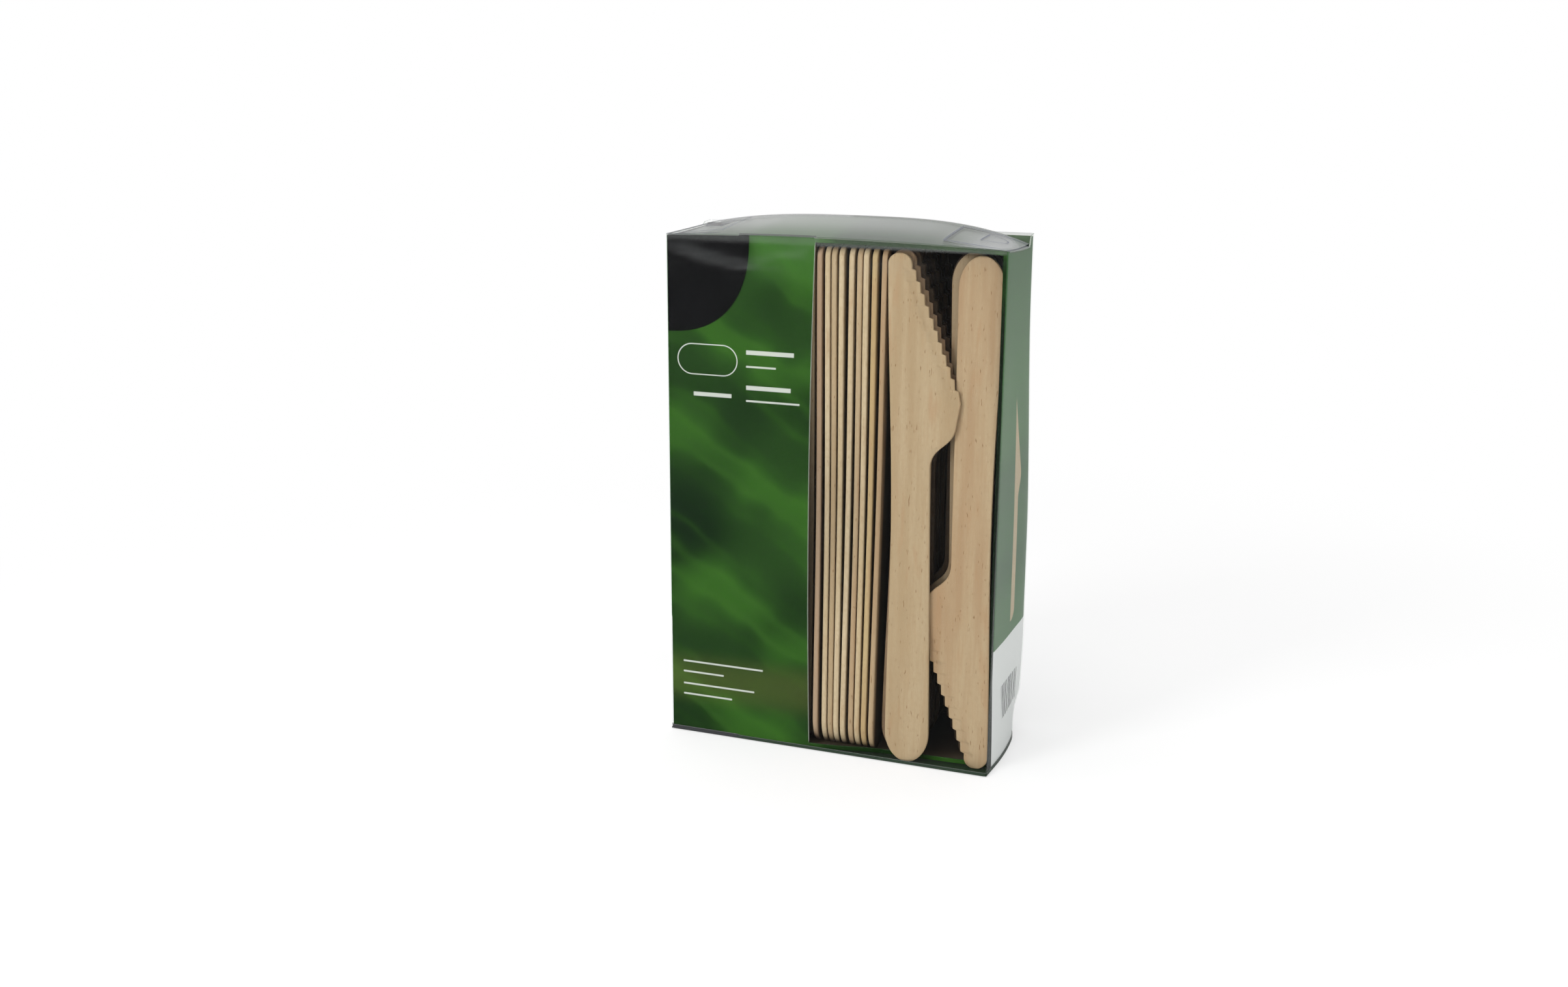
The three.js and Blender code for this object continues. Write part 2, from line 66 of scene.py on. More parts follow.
# Studio
# A white sweep, with soft lamps over the carton, left of it, in front and right of it.
# What the film mirrors is brighter behind the carton, above it and to its left.
# Sums and products of node outputs are written as plain arithmetic, here and in each material.
class Value:
    """An output in a node tree; + - * / and the methods below add Math nodes."""

    def __init__(self, tree, out):
        self.tree, self.out = tree, out

    def math(self, operation, *others):
        node = self.tree.nodes.new("ShaderNodeMath")
        node.operation = operation
        for socket, value in zip(node.inputs, (self, *others)):
            plug(value, socket)
        return Value(self.tree, node.outputs[0])

    def __add__(self, other):
        return self.math("ADD", other)

    def __sub__(self, other):
        return self.math("SUBTRACT", other)

    def __mul__(self, other):
        return self.math("MULTIPLY", other)

    def __truediv__(self, other):
        return self.math("DIVIDE", other)

    def __neg__(self):
        return self * -1.0

    def __rsub__(self, other):
        return -self + other

    __radd__, __rmul__ = __add__, __mul__

    def abs(self):
        return self.math("ABSOLUTE")

    def power(self, n):
        return self.math("POWER", n)

    def sin(self):
        return self.math("SINE")

    def larger(self, other):
        return self.math("MAXIMUM", other)

    def smaller(self, other):
        return self.math("MINIMUM", other)

    def rise(self, start, end):
        """0 before start, 1 after end, smooth between."""
        node = self.tree.nodes.new("ShaderNodeMapRange")
        node.interpolation_type = "SMOOTHSTEP"
        for socket, value in zip(node.inputs, (self, start, end)):
            plug(value, socket)
        return Value(self.tree, node.outputs[0])

    def band(self, start, end, soft):
        """1 from start to end, with soft edges."""
        return self.rise(start - soft, start + soft) * (1 - self.rise(end - soft, end + soft))


def plug(value, socket):
    """Links a node output to a socket, or sets the socket to a number or colour."""
    if isinstance(value, Value):
        value.tree.links.new(value.out, socket)
    elif socket.type == "RGBA":
        socket.default_value = (*value, 1.0)
    else:
        socket.default_value = value


class Surface:
    """A material with one Principled shader. node() adds any other node."""

    def __init__(self, name, **constants):
        self.material = bpy.data.materials.new(name)
        self.material.use_nodes = True
        self.tree = self.material.node_tree
        self.skin = self.tree.nodes["Principled BSDF"]
        for socket, value in constants.items():
            plug(value, self.skin.inputs[socket.replace("_", " ")])

    def node(self, kind, outlet=0, settings=None, **inputs):
        """Another node with its settings and inputs; returns one of its outputs."""
        node = self.tree.nodes.new("ShaderNode" + kind)
        for name, value in (settings or {}).items():
            setattr(node, name, value)
        for name, value in inputs.items():
            plug(value, node.inputs[name.replace("_", " ")])
        return Value(self.tree, node.outputs[outlet])

    def millimetres(self):
        """The object's x, y and z in millimetres."""
        where = self.node("TexCoord", outlet="Object")
        parts = self.node("SeparateXYZ", Vector=where).out.node.outputs
        return [Value(self.tree, p) * 1000.0 for p in parts]

    def facing(self):
        """The flat normal's x, y and z."""
        flat = self.node("NewGeometry", outlet="True Normal")
        return [Value(self.tree, p) for p in self.node("SeparateXYZ", Vector=flat).out.node.outputs]

    def layer(self):
        """1 on a sheet's outside, 0 on its inside, between the two on its cut edges."""
        return self.node("Attribute", outlet="Fac", settings={"attribute_name": "layer"})

    def noise(self, x, y, z, detail=2.0, roughness=0.5):
        """Smooth noise around 0.5, one bump per unit of its three coordinates."""
        at = self.node("CombineXYZ", X=x, Y=y, Z=z)
        return self.node("TexNoise", Vector=at, Scale=1.0, Detail=detail, Roughness=roughness)

    def mix(self, share, a, b):
        """Colour a where share is 0, colour b where it is 1."""
        node = self.tree.nodes.new("ShaderNodeMix")
        node.data_type = "RGBA"
        for socket, value in ((node.inputs[0], share), (node.inputs[6], a), (node.inputs[7], b)):
            plug(value, socket)
        return Value(self.tree, node.outputs[2])

    def blend_with(self, share, other):
        """Mixes another shader in before the output: all of it where share is 1."""
        skin = Value(self.tree, self.tree.nodes["Material Output"].inputs[0].links[0].from_socket)
        joint = self.tree.nodes.new("ShaderNodeMixShader")
        for socket, value in zip(joint.inputs, (share, skin, other)):
            plug(value, socket)
        plug(Value(self.tree, joint.outputs[0]), self.tree.nodes["Material Output"].inputs[0])

    def paint(self, colour=None, rough=None, bump=None, depth=0.00005):
        """Plugs in what varies: colour, roughness and a bump whose height is depth metres."""
        if colour is not None:
            plug(colour, self.skin.inputs["Base Color"])
        if rough is not None:
            plug(rough, self.skin.inputs["Roughness"])
        if bump is not None:
            raised = self.node("Bump", Height=bump, Distance=depth, Strength=1.0)
            plug(raised, self.skin.inputs["Normal"])
        return self.material


def wear(thing, material):
    """Gives an object this material alone."""
    thing.data.materials.clear()
    thing.data.materials.append(material)


world = bpy.data.worlds.new("studio")
bpy.context.scene.world = world
world.use_nodes = True
sky = world.node_tree
backdrop = sky.nodes["Background"]
backdrop.inputs["Strength"].default_value = 1.0
outward = Value(sky, sky.nodes.new("ShaderNodeTexCoord").outputs["Generated"])
split = sky.nodes.new("ShaderNodeSeparateXYZ")
plug(outward, split.inputs[0])
aside, toward, above = (Value(sky, out) for out in split.outputs)
glow_behind = 0.38 * toward.rise(0.1, 0.7)
glow_above = 0.4 * above.rise(0.5, 1.0)
glow_left = 0.2 * (-aside).rise(0.0, 1.0)
glow = 0.16 + glow_behind + glow_above + glow_left
seen = Value(sky, sky.nodes.new("ShaderNodeLightPath").outputs["Is Camera Ray"])
plug(glow * (1 - seen) + seen, backdrop.inputs["Color"])

FLOOR_SIZE, FLOOR_DROP, SHADE_REACH, WHITE_FROM = 5.0, 0.0003, 120, 420
bpy.ops.mesh.primitive_plane_add(size=FLOOR_SIZE, location=(0, 0, -FLOOR_DROP))
floor = bpy.context.object
floor.name = "floor"
paper = Surface("pale_floor", Roughness=0.9)
x, y, z = paper.millimetres()
fibre = paper.noise(x * 0.02, y * 0.02, z, detail=3.0)
paper.paint(paper.mix(fibre, (0.93, 0.93, 0.93), (0.95, 0.95, 0.95)))
seen = paper.node("LightPath", outlet="Is Camera Ray")
distance = (x * x + y * y).power(0.5)
far = 0.55 + 0.45 * distance.rise(SHADE_REACH, WHITE_FROM)
white = paper.node("Emission", Color=(1.0, 1.0, 1.0))
paper.blend_with(seen * far, white)
wear(floor, paper.material)


def frame_of(back):
    """Right, up and back directions of something whose back points this way."""
    back = np.array(back, float) / np.linalg.norm(back)
    side = np.cross((0, 0, 1.0), back)
    side /= np.linalg.norm(side)
    return side, np.cross(back, side), back


def lamp(name, place, aim, size, watts):
    """A square soft lamp at place that faces aim, both in metres."""
    light = bpy.data.lights.new(name, "AREA")
    light.size, light.energy = size, watts
    thing = bpy.data.objects.new(name, light)
    bpy.context.scene.collection.objects.link(thing)
    facing = np.array(frame_of(np.subtract(place, aim))).T
    thing.matrix_world = Matrix.Translation(place) @ Matrix(facing.tolist()).to_4x4()


LAMP_AIM = (0, 0, 0.08)
lamp("lamp_over", (-0.2, -0.2, 1.5), (0, 0, 0), 1.0, 10.5)
lamp("lamp_left", (-0.9, -1.3, 0.8), LAMP_AIM, 0.5, 13.5)
lamp("lamp_front", (-0.1, -1.6, 0.7), LAMP_AIM, 0.6, 3)
lamp("lamp_right", (1.3, -0.5, 0.6), LAMP_AIM, 0.6, 5)


# Birch
# The knives are stamped from pale veneer with its grain along z: slow warm bands, fine streaks
# and short dark flecks. Each variant reads another stretch of the same noise.
LENGTH, KNIVES_FRONT, FEET_FORWARD = 165.0, -17.2, 4.2
FLAT_STACK, FLAT_STACK_DEPTH = (16.4, 17.2), 2.8


def birch(name, pale, warm, seed, flecks=1.0):
    """The colour runs from pale to warm with the slow bands. Each finer noise then pulls it
    towards a colour of its own, as far as that noise rises. Last, it fades to near black with
    the distance behind the front knives: painted shade for the gaps between them."""
    wood = Surface(name, IOR=1.4, Specular_IOR_Level=0.25)
    x, y, z = wood.millimetres()
    bands = wood.noise(x * 0.22 + seed, y * 0.22, z * 0.012, detail=3.0)
    warp = wood.noise(x * 0.12 + seed, y * 0.12, z * 0.03, detail=2.0) * 2.5
    streaks = wood.noise(x * 2.4 + seed + warp, y * 2.4, z * 0.05, detail=4.0, roughness=0.65)
    hair = wood.noise(x * 9.0 + seed, y * 9.0, z * 0.22, detail=3.0, roughness=0.6)
    pores = wood.noise(x * 5.5 + seed, y * 5.5, z * 0.35, detail=2.0)
    spots = wood.noise(x * 1.9 - seed, y * 1.9, z * 0.38, detail=1.0)
    stains = wood.noise(x * 0.35 + seed, y * 0.35, z * 0.05 + seed, detail=2.0)
    mottle = wood.noise(x * 0.9 + seed, y * 0.9, z * 0.7, detail=3.0)
    behind = y - KNIVES_FRONT + FEET_FORWARD * (1 - z / LENGTH)
    # Painted shade: near black with the distance behind the front knives.
    painted_gap_shade = (behind - x.rise(*FLAT_STACK) * FLAT_STACK_DEPTH).rise(1.0, 4.6)
    tints = (
        (stains.rise(0.56, 0.75) * 0.45, (0.40, 0.23, 0.12)),
        (streaks.rise(0.42, 0.75) * 0.42, (0.40, 0.26, 0.14)),
        (hair.rise(0.5, 0.78) * 0.35, (0.34, 0.23, 0.13)),
        (pores.rise(0.36, 0.12) * 0.4, (0.66, 0.55, 0.39)),
        (mottle.rise(0.42, 0.72) * 0.22, (0.36, 0.25, 0.145)),
        (spots.rise(0.69, 0.75) * 0.65 * flecks, (0.20, 0.105, 0.045)),
        (painted_gap_shade * 0.86, (0.022, 0.013, 0.008)),
    )
    colour = wood.mix(bands.rise(0.35, 0.66), pale, warm)
    for share, tint in tints:
        colour = wood.mix(share, colour, tint)
    grain = streaks * 0.5 + hair * 0.6 + pores * 0.3
    return wood.paint(colour, 0.6 + 0.2 * streaks, grain, 0.00007)


WOODS = [
    birch("birch_pale", (0.455, 0.345, 0.215), (0.40, 0.29, 0.17), 0.0),
    birch("birch_cream", (0.58, 0.465, 0.31), (0.52, 0.40, 0.245), 17.0, 0.4),
    birch("birch_warm", (0.455, 0.34, 0.21), (0.39, 0.26, 0.15), 31.0),
    birch("birch_gold", (0.50, 0.375, 0.20), (0.45, 0.31, 0.15), 47.0, 0.6),
    birch("birch_rose", (0.42, 0.30, 0.205), (0.35, 0.235, 0.155), 59.0, 0.7),
    # The last is a darkened copy of the birch: painted shade for knives deep in the stacks.
    birch("birch_dusk", (0.27, 0.18, 0.11), (0.21, 0.135, 0.08), 71.0, 0.7),
]
BUNDLE_WOODS, SHADED_STACK_WOOD = WOODS[:4], WOODS[5]
for node_name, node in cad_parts.items():
    if "stacked_knife" in node_name:
        wear(node, SHADED_STACK_WOOD)
    elif "knife" in node_name:
        wear(node, BUNDLE_WOODS[sum(map(ord, node_name)) % len(BUNDLE_WOODS)])


# Knives that show
# Stamped from veneer: rounded edges, and a blade pressed thin along its teeth. The outline is the
# CAD's: local x runs from spine to cutting edge, y from front face to back, z from handle to tip.
MM = 0.001
THICK, BELLY, BELLY_AT, HANDLE, NARROW = 1.6, 23.4, 46.0, 14.6, 0.6
NECK_AT, NECK_RUN, TIP, TIP_ROUND, END_ROUND = 67.0, 10.0, 7.6, 3.4, 10.0
SPINE_DIP, TEETH, TOOTH_PITCH, STEP, TOOTH_INSET, TOOTH_SLOPE = 1.5, 11, 3.7, 1.2, 0.69, 0.12
EDGE_ROUND, FULL_ROUND_WIDTH = 0.3, 2.4
PRESSED_WIDTH, PRESSED_RUN, PRESSED_SHARE = 3.1, 0.35, 0.36


def knife_edges():
    """Distances from the tip, and the x of the spine and of the cutting edge there. The spine
    dips by a squared sine. The cutting edge steps up from the tip tooth by tooth, and a Bezier
    curve takes the belly in to the neck. Tip and handle end are half ellipses."""
    first = BELLY_AT - TOOTH_PITCH
    last = first - (TEETH - 1) * TOOTH_PITCH
    edge = [(TIP_ROUND, TIP)]
    for t in np.linspace(1, 0, TEETH):
        corner = BELLY - TOOTH_INSET + (TIP + STEP - BELLY + TOOTH_INSET) * t
        at = first + (last - first) * t
        edge += [(at - TOOTH_SLOPE * TOOTH_PITCH, corner - STEP), (at, corner)]
    neck = HANDLE - NARROW
    control = np.array([(BELLY - 1.2, -1.4), (BELLY - 2, -0.65), (neck, -0.75), (neck, 0)])
    s = np.linspace(0, 1, 12)[:, None]
    weights = np.hstack([(1 - s) ** 3, 3 * s * (1 - s) ** 2, 3 * s * s * (1 - s), s**3])
    edge += [(BELLY_AT, BELLY)]
    edge += [(NECK_AT + NECK_RUN * q, p) for p, q in weights @ control]
    edge += [(LENGTH - END_ROUND, HANDLE)]
    edge = np.array(edge)
    ends = 1 - np.cos(np.linspace(0, np.pi / 2, 10))
    between = np.arange(6.0, 154.0, 1.5)
    f = np.concatenate([ends * TIP_ROUND, edge[:, 0], between, LENGTH - ends * END_ROUND])
    f = np.unique(np.round(f, 4))[1:-1]
    over = np.interp(f, edge[:, 0], edge[:, 1])
    spine = SPINE_DIP * np.sin(np.pi * f / LENGTH) ** 2
    tip = np.sqrt(np.clip(1 - (1 - f / TIP_ROUND) ** 2, 0, 1))
    end = np.sqrt(np.clip(1 - (1 - (LENGTH - f) / END_ROUND) ** 2, 0, 1))
    spine = np.where(f < TIP_ROUND, TIP / 2 * (1 - tip), spine)
    over = np.where(f < TIP_ROUND, TIP / 2 * (1 + tip), over)
    late = f > LENGTH - END_ROUND
    spine = np.where(late, HANDLE / 2 * (1 - end), spine)
    over = np.where(late, HANDLE / 2 * (1 + end), over)
    return f, spine, over


def solid(name, points, faces):
    """A mesh from points in millimetres, smooth shaded, in the pack's frame."""
    mesh = bpy.data.meshes.new(name)
    mesh.from_pydata((np.asarray(points) * MM).tolist(), [], faces)
    mesh.validate()
    mesh.update()
    mesh.shade_smooth()
    thing = bpy.data.objects.new(name, mesh)
    bpy.context.scene.collection.objects.link(thing)
    return thing


def knife_mesh(name):
    """Rings across the knife, one per distance f from the tip. x runs from spine to edge, and
    y = T/2 - h and T/2 + h. At a distance d below r from an edge h = T/2 sqrt(1 - (1 - d/r)^2),
    elsewhere T/2, and over the pressed teeth 0.36 of it less."""
    f, spine, edge = knife_edges()
    rim = np.array([0.0, 0.025, 0.09, 0.18, EDGE_ROUND])
    width = (edge - spine)[:, None]
    inner = np.linspace(0, 1, 8)[1:-1]
    scale = np.minimum(1.0, width / FULL_ROUND_WIDTH)
    near = rim * scale
    far = width - rim[::-1] * scale
    press_at = width - PRESSED_WIDTH
    ridge = np.hstack([press_at, press_at + PRESSED_RUN])
    stop = np.maximum(ridge[:, :1], near[:, -1:] + 0.1)
    ridge = np.hstack([stop, np.maximum(ridge[:, 1:], stop + 0.05)])
    ridge = np.minimum(ridge, far[:, :1] - np.array([[0.1, 0.05]]) * scale)
    body = near[:, -1:] + (ridge[:, :1] - near[:, -1:]) * inner
    place = np.hstack([near, body, ridge, far])
    d = np.minimum(place, width - place)
    close = np.minimum(f, LENGTH - f)[:, None]
    h = THICK / 2 * np.sqrt(1 - (1 - np.clip(d / (EDGE_ROUND * scale), 0, 1)) ** 2)
    h *= np.sqrt(1 - (1 - np.clip(close / EDGE_ROUND, 0, 1)) ** 2)
    toothed = np.clip((f - 3) / 3, 0, 1) * np.clip((BELLY_AT + 4 - f) / 6, 0, 1)
    pressed = toothed[:, None] * np.clip((place - press_at) / PRESSED_RUN, 0, 1)
    h *= 1 - PRESSED_SHARE * pressed
    x = spine[:, None] + place
    z = np.broadcast_to((LENGTH - f)[:, None], x.shape)
    front = np.stack([x, THICK / 2 - h, z], 2)
    back = np.stack([x, THICK / 2 + h, z], 2)[:, ::-1]
    rings = np.concatenate([front, back[:, 1:-1]], 1)
    count, size = rings.shape[:2]
    start = np.arange(count - 1)[:, None] * size
    a = start + np.arange(size)
    b = start + (np.arange(size) + 1) % size
    faces = np.stack([a, a + size, b + size, b], 2).reshape(-1, 4).tolist()
    faces += [list(range(size)), list(range(count * size - 1, (count - 1) * size - 1, -1))]
    return solid(name, rings.reshape(-1, 3), faces)


def place_knife(name, node_name, moves, wood):
    """A knife whose points are multiplied by the 4 x 4 matrix moves, in place of the CAD's."""
    thing = knife_mesh(name)
    thing.data.transform(Matrix(moves.tolist()))
    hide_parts(node_name)
    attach(thing, "pack")
    wear(thing, wood)


def about(axis, angle):
    """Turn about an axis through the origin."""
    return np.array(Matrix.Rotation(angle, 4, axis))


def shift(x, y, z):
    """Straight move in millimetres."""
    return np.array(Matrix.Translation((x * MM, y * MM, z * MM)))


# The window row stands on edge. Its uneven gaps lean the knives, and their feet follow the film,
# which swells out from the carton's left side to its right.
MID_DEPTH, ROW_FRONT, FLOOR_Z = 18.155, 1.0, 1.2
HALF, BULGE, FOOT_PLAY = 55.225, 5.6, 0.4
ROW_LEFT, BUNDLES_LEFT, BUNDLE_WIDTH = -54.225, 7, 7.0
FOOT_GAPS = [0.9, 1.5, 0.5, 0.3, 0.7, 1.2, 0.5, 0.7, 0.9]
TOP_GAPS = [0.2, 1.0, 0.5, 0.8, 1.7, 1.0, 0.4, 1.2, 1.5]
ROW_WOODS = [4, 1, 0, 1, 1, 2, 1, 3, 2]
foot = top = ROW_LEFT + BUNDLES_LEFT * BUNDLE_WIDTH
for k, (foot_gap, top_gap, wood) in enumerate(zip(FOOT_GAPS, TOP_GAPS, ROW_WOODS), 1):
    foot += foot_gap + THICK
    top += top_gap + THICK
    forward_by = BULGE * (foot + HALF) / (2 * HALF) + FOOT_PLAY
    moves = shift(foot, ROW_FRONT - forward_by - MID_DEPTH, FLOOR_Z)
    moves = moves @ about("X", -math.asin(forward_by / LENGTH))
    moves = moves @ about("Y", math.asin((top - foot) / LENGTH)) @ about("Z", math.pi / 2)
    place_knife(f"birch_knife_edge_on_{k}", f"window_knife_{k}", moves, WOODS[wood])

# The two stacks stand flat, spine out, blades up at the left and down at the right.
# The front pair has slipped down and forward, and the second knife of the right stack leans.
FLIP = shift(0, 0, LENGTH) @ about("Y", math.pi)
STACK_LEFT, STACK_RIGHT, SLOT, DRIFT, SLIP = 17.625, 54.225, 1.67, 2.4, 3.1
SLIPPED_FOOT = 0.35 - BULGE * (STACK_LEFT + SLIP + HALF) / (2 * HALF)
SLIPPED_Z, SLIPPED, LEANING, LAST, LAST_DEPTH = 0.45, 2, 3, 22, 37.81
# Wood 5 is the darkened birch: painted shade for knives behind the front pair.
STACK_WOODS = [0, 2, 5, 0, 5, 5]


def stray(k):
    """Sideways scatter of the stacked knives, 0.7 (1 - cos 2.4 k)."""
    return 0.7 * (1 - math.cos(2.4 * k))


for k, wood in enumerate(STACK_WOODS):
    slipped = k < SLIPPED
    top_depth = ROW_FRONT + (LAST_DEPTH - ROW_FRONT) * k / LAST
    foot_depth = ROW_FRONT + (LAST_DEPTH - ROW_FRONT) * (k - SLIPPED) / (LAST - SLIPPED)
    if slipped:
        foot_depth = SLIPPED_FOOT + k * SLOT
    moves = about("X", -math.asin((top_depth - foot_depth) / LENGTH))
    if k % 2:
        x = STACK_RIGHT - (0 if slipped or k == LEANING else DRIFT) - stray(k - 1)
        moves = moves @ FLIP
        if k == LEANING:
            moves = about("Y", -math.asin(DRIFT / LENGTH)) @ moves
    elif slipped:
        x = STACK_LEFT + SLIP
        moves = moves @ about("Y", -math.asin(SLIP / LENGTH))
    else:
        x = STACK_LEFT + stray(k)
    moves = shift(x, foot_depth - MID_DEPTH, SLIPPED_Z if slipped else FLOOR_Z) @ moves
    place_knife(f"birch_knife_flat_{k + 1}", f"stacked_knife_{k + 1}", moves, WOODS[wood])


# Carton form
# The heights and depths that film and card share; d is the distance behind the flat front.
# The front fold is arched, the front's foot swells to the right, the right wall swells at its
# foot and its back edge, and its back bottom corner is crushed.
FILM, CARD, DEPTH, FLAT_TOP = 0.25, 0.4, 41.91, 167.98
LID_HALF, LID_TAPER, CREST, DROP_LEFT, DROP_RIGHT = 54.625, 0.8, 3.6, 0.5, 3.2
WALL_SWELL, SWELL_FROM, SWELL_RUN = 1.9, 40, 15
FOOT_MIDDLE, FOOT_RUN, FOOT_HEIGHT = 20, 23, 32
EDGE_TOP, EDGE_RUN, EDGE_DEPTH = 152, 85, 36
CRUSH_REACH, CRUSH_MOVE = 15.0, (-1.6, -1.6, 2.6)


def fold(x):
    """Height of the front fold: H + 1.2 (1 - (x/half)^2) - 0.0045 x."""
    return FLAT_TOP + 1.2 * (1 - (x / HALF) ** 2) - 0.0045 * x


def lid_half(d):
    """Half the lid's width, which narrows evenly to the back."""
    return LID_HALF - LID_TAPER * d / DEPTH


def lid_under(x, d):
    """Underside of the lid: (c - (c + drop) |u|^3)(1 - (1 - d/D)^1.5) above the fold's line."""
    u = np.clip(x / lid_half(d), -1, 1)
    drop = np.where(u > 0, DROP_RIGHT, DROP_LEFT)
    ramp = 1 - (1 - np.clip(d / DEPTH, 0, 1)) ** 1.5
    rest = (fold(x) - FLAT_TOP) * (1 - np.clip(d / DEPTH, 0, 1))
    return FLAT_TOP - FILM + rest + (CREST - (CREST + drop) * abs(u) ** 3) * ramp


def swell(x, z):
    """The foot of the front leans out by b (x + w/2)/w (1 - z/H)."""
    return -BULGE * np.clip((x + HALF) / (2 * HALF), 0, 1) * (1 - np.clip(z / FLAT_TOP, 0, 1))


def crush(points):
    """Turns depths into y. First the right wall moves out by 1.9 times the larger of two bumps,
    one at its foot and one along its back edge, and then all points within 15 of its back
    bottom corner move in and up by (1 - r^2)^2, r being the share of that distance."""
    points = np.array(points, float)
    x, d, z = points[..., 0], points[..., 1], points[..., 2]
    at_foot = np.clip(1 - ((d - FOOT_MIDDLE) / FOOT_RUN) ** 2, 0, 1)
    at_foot = at_foot * np.clip(1 - (z / FOOT_HEIGHT) ** 2, 0, 1) ** 2
    down = np.clip((EDGE_TOP - z) / EDGE_RUN, 0, 1)
    at_back = down * down * (3 - 2 * down) * np.clip(d / EDGE_DEPTH, 0, 1) ** 1.5
    at_back = at_back * np.clip(0.5 + z / 60, 0, 1)
    at_wall = np.clip((x - SWELL_FROM) / SWELL_RUN, 0, 1) ** 2
    points[..., 0] += WALL_SWELL * np.maximum(at_foot, at_back) * at_wall
    r = np.sqrt((x - HALF) ** 2 + (d - DEPTH) ** 2 + z**2) / CRUSH_REACH
    corner = np.clip(1 - r * r, 0, 1) ** 2
    points += corner[..., None] * np.array(CRUSH_MOVE)
    points[..., 1] -= MID_DEPTH
    return points


def sheet(outside, inside, kept=None, wrap=False):
    """A closed thin solid between two grids of points. A cell has four neighbouring points as
    its corners, and each side of a kept cell with no kept neighbour gets a strip of cut edge."""
    n, m = outside.shape[:2]
    points = np.concatenate([outside.reshape(-1, 3), inside.reshape(-1, 3)])
    number = np.arange(n * m).reshape(n, m)
    if wrap:
        number = np.vstack([number, number[:1]])
    a, b, c, d = number[:-1, :-1], number[1:, :-1], number[1:, 1:], number[:-1, 1:]
    kept = np.ones(a.shape, bool) if kept is None else kept
    beyond = np.pad(kept, 1)
    if wrap:
        beyond[0], beyond[-1] = beyond[-2], beyond[1]
    quads = [np.stack([a, b, c, d], 2)[kept], np.stack([d, c, b, a], 2)[kept] + n * m]
    for start, stop, neighbour in (
        (a, b, beyond[1:-1, :-2]),
        (b, c, beyond[2:, 1:-1]),
        (c, d, beyond[1:-1, 2:]),
        (d, a, beyond[:-2, 1:-1]),
    ):
        strip = np.stack([stop, start, start + n * m, stop + n * m], 2)
        quads.append(strip[kept & ~neighbour])
    faces = np.concatenate(quads)
    p, q, r, s = points[faces].transpose(1, 0, 2)
    volume = (p * (np.cross(q, r) + np.cross(r, s))).sum()
    if volume < 0:
        faces = faces[:, ::-1]
    layer = np.repeat([1.0, 0.0], n * m)
    used = np.zeros(len(points), bool)
    used[faces] = True
    return points[used], (np.cumsum(used) - 1)[faces], layer[used]


def folded(name, sheets):
    """One object made of several sheets, with the attribute that tells outside from inside."""
    points, faces, layers = zip(*sheets)
    starts = np.cumsum([0] + [len(part) for part in points[:-1]])
    faces = np.concatenate([part + start for part, start in zip(faces, starts)])
    thing = solid(name, np.concatenate(points), faces.tolist())
    mark = thing.data.attributes.new("layer", "FLOAT", "POINT")
    mark.data.foreach_set("value", np.concatenate(layers))
    thing.data.set_sharp_from_angle(angle=math.radians(40))
    return thing


def wall_ring(half, d0, d1, r, extra=()):
    """Plan of four walls with quarter-round corners of radius r, from the back of the left wall
    round by the front. extra holds more x stations for the front wall."""
    xs = np.unique(np.concatenate([np.linspace(-half + r, half - r, 34), extra]))
    ds = np.linspace(d1 - r, d0 + r, 18)
    quarter = np.linspace(0, np.pi / 2, 6)[1:-1]
    left = [(-half, d) for d in ds]
    turn_1 = [(-half + r - r * math.cos(t), d0 + r - r * math.sin(t)) for t in quarter]
    front = [(x, d0) for x in xs]
    turn_2 = [(half - r + r * math.sin(t), d0 + r - r * math.cos(t)) for t in quarter]
    right_wall = [(half, d) for d in ds[::-1]]
    turn_3 = [(half - r + r * math.cos(t), d1 - r + r * math.sin(t)) for t in quarter]
    back = [(x, d1) for x in np.linspace(half - r, -half + r, 34)]
    turn_4 = [(-half + r - r * math.sin(t), d1 - r + r * math.cos(t)) for t in quarter]
    return np.array(left + turn_1 + front + turn_2 + right_wall + turn_3 + back + turn_4)


def near_front(d, reach):
    """1 on the front wall, fading to 0 by 3 t^2 - 2 t^3 where the side walls begin."""
    t = np.clip((d - 1.2) / reach, 0, 1)
    return 1 - t * t * (3 - 2 * t)


def plate(xs, ds, top, thick):
    """Upper and lower face of a sheet that lies over the given stations, its top at one height."""
    x, d = np.meshgrid(xs, ds, indexing="ij")
    upper = np.stack([x, d, np.full(x.shape, top)], 2)
    return upper, upper - (0, 0, thick)


# Printed card
# One folded sheet of card with a large window, printed outside; its brown inside is painted
# near black as shade. Its front follows the film, and its foot strip bends back behind the
# slipped knives. Small end flaps lie under the rounded ends of the top panel.
WINDOW_LEFT, WINDOW_BOW, SIDE_STRIP, TAB_LEFT = -5.4, 4.8, 1.4, -30.4
CARD_HALF, CARD_FRONT, CARD_BACK, CARD_BOTTOM = 54.93, 0.33, 41.16, 0.7
SIDE_TOP, SIDE_TOP_FRONT, REAR_TOP, END_TOP, END_CARD = 167.4, 167.3, 167.2, 166.62, 0.3
PANEL_HALF, PANEL_BACK, PANEL_ROUND, SHOULDER = 44.0, 39.4, 6, 5


def card_top(x, d):
    """Top edge of the card: just under the front fold, level along the back, sloping on the sides."""
    front_edge = fold(x) - 0.5 + np.where((x > TAB_LEFT) & (x < WINDOW_LEFT - 0.4), 0.25, 0.0)
    slope = np.minimum(lid_under(np.sign(x) * LID_HALF, d) - 0.6, SIDE_TOP_FRONT)
    side_edge = np.where(d > DEPTH - 6, SIDE_TOP, slope)
    return np.where(d < 1.3, front_edge, np.where(d > 40, REAR_TOP, side_edge))


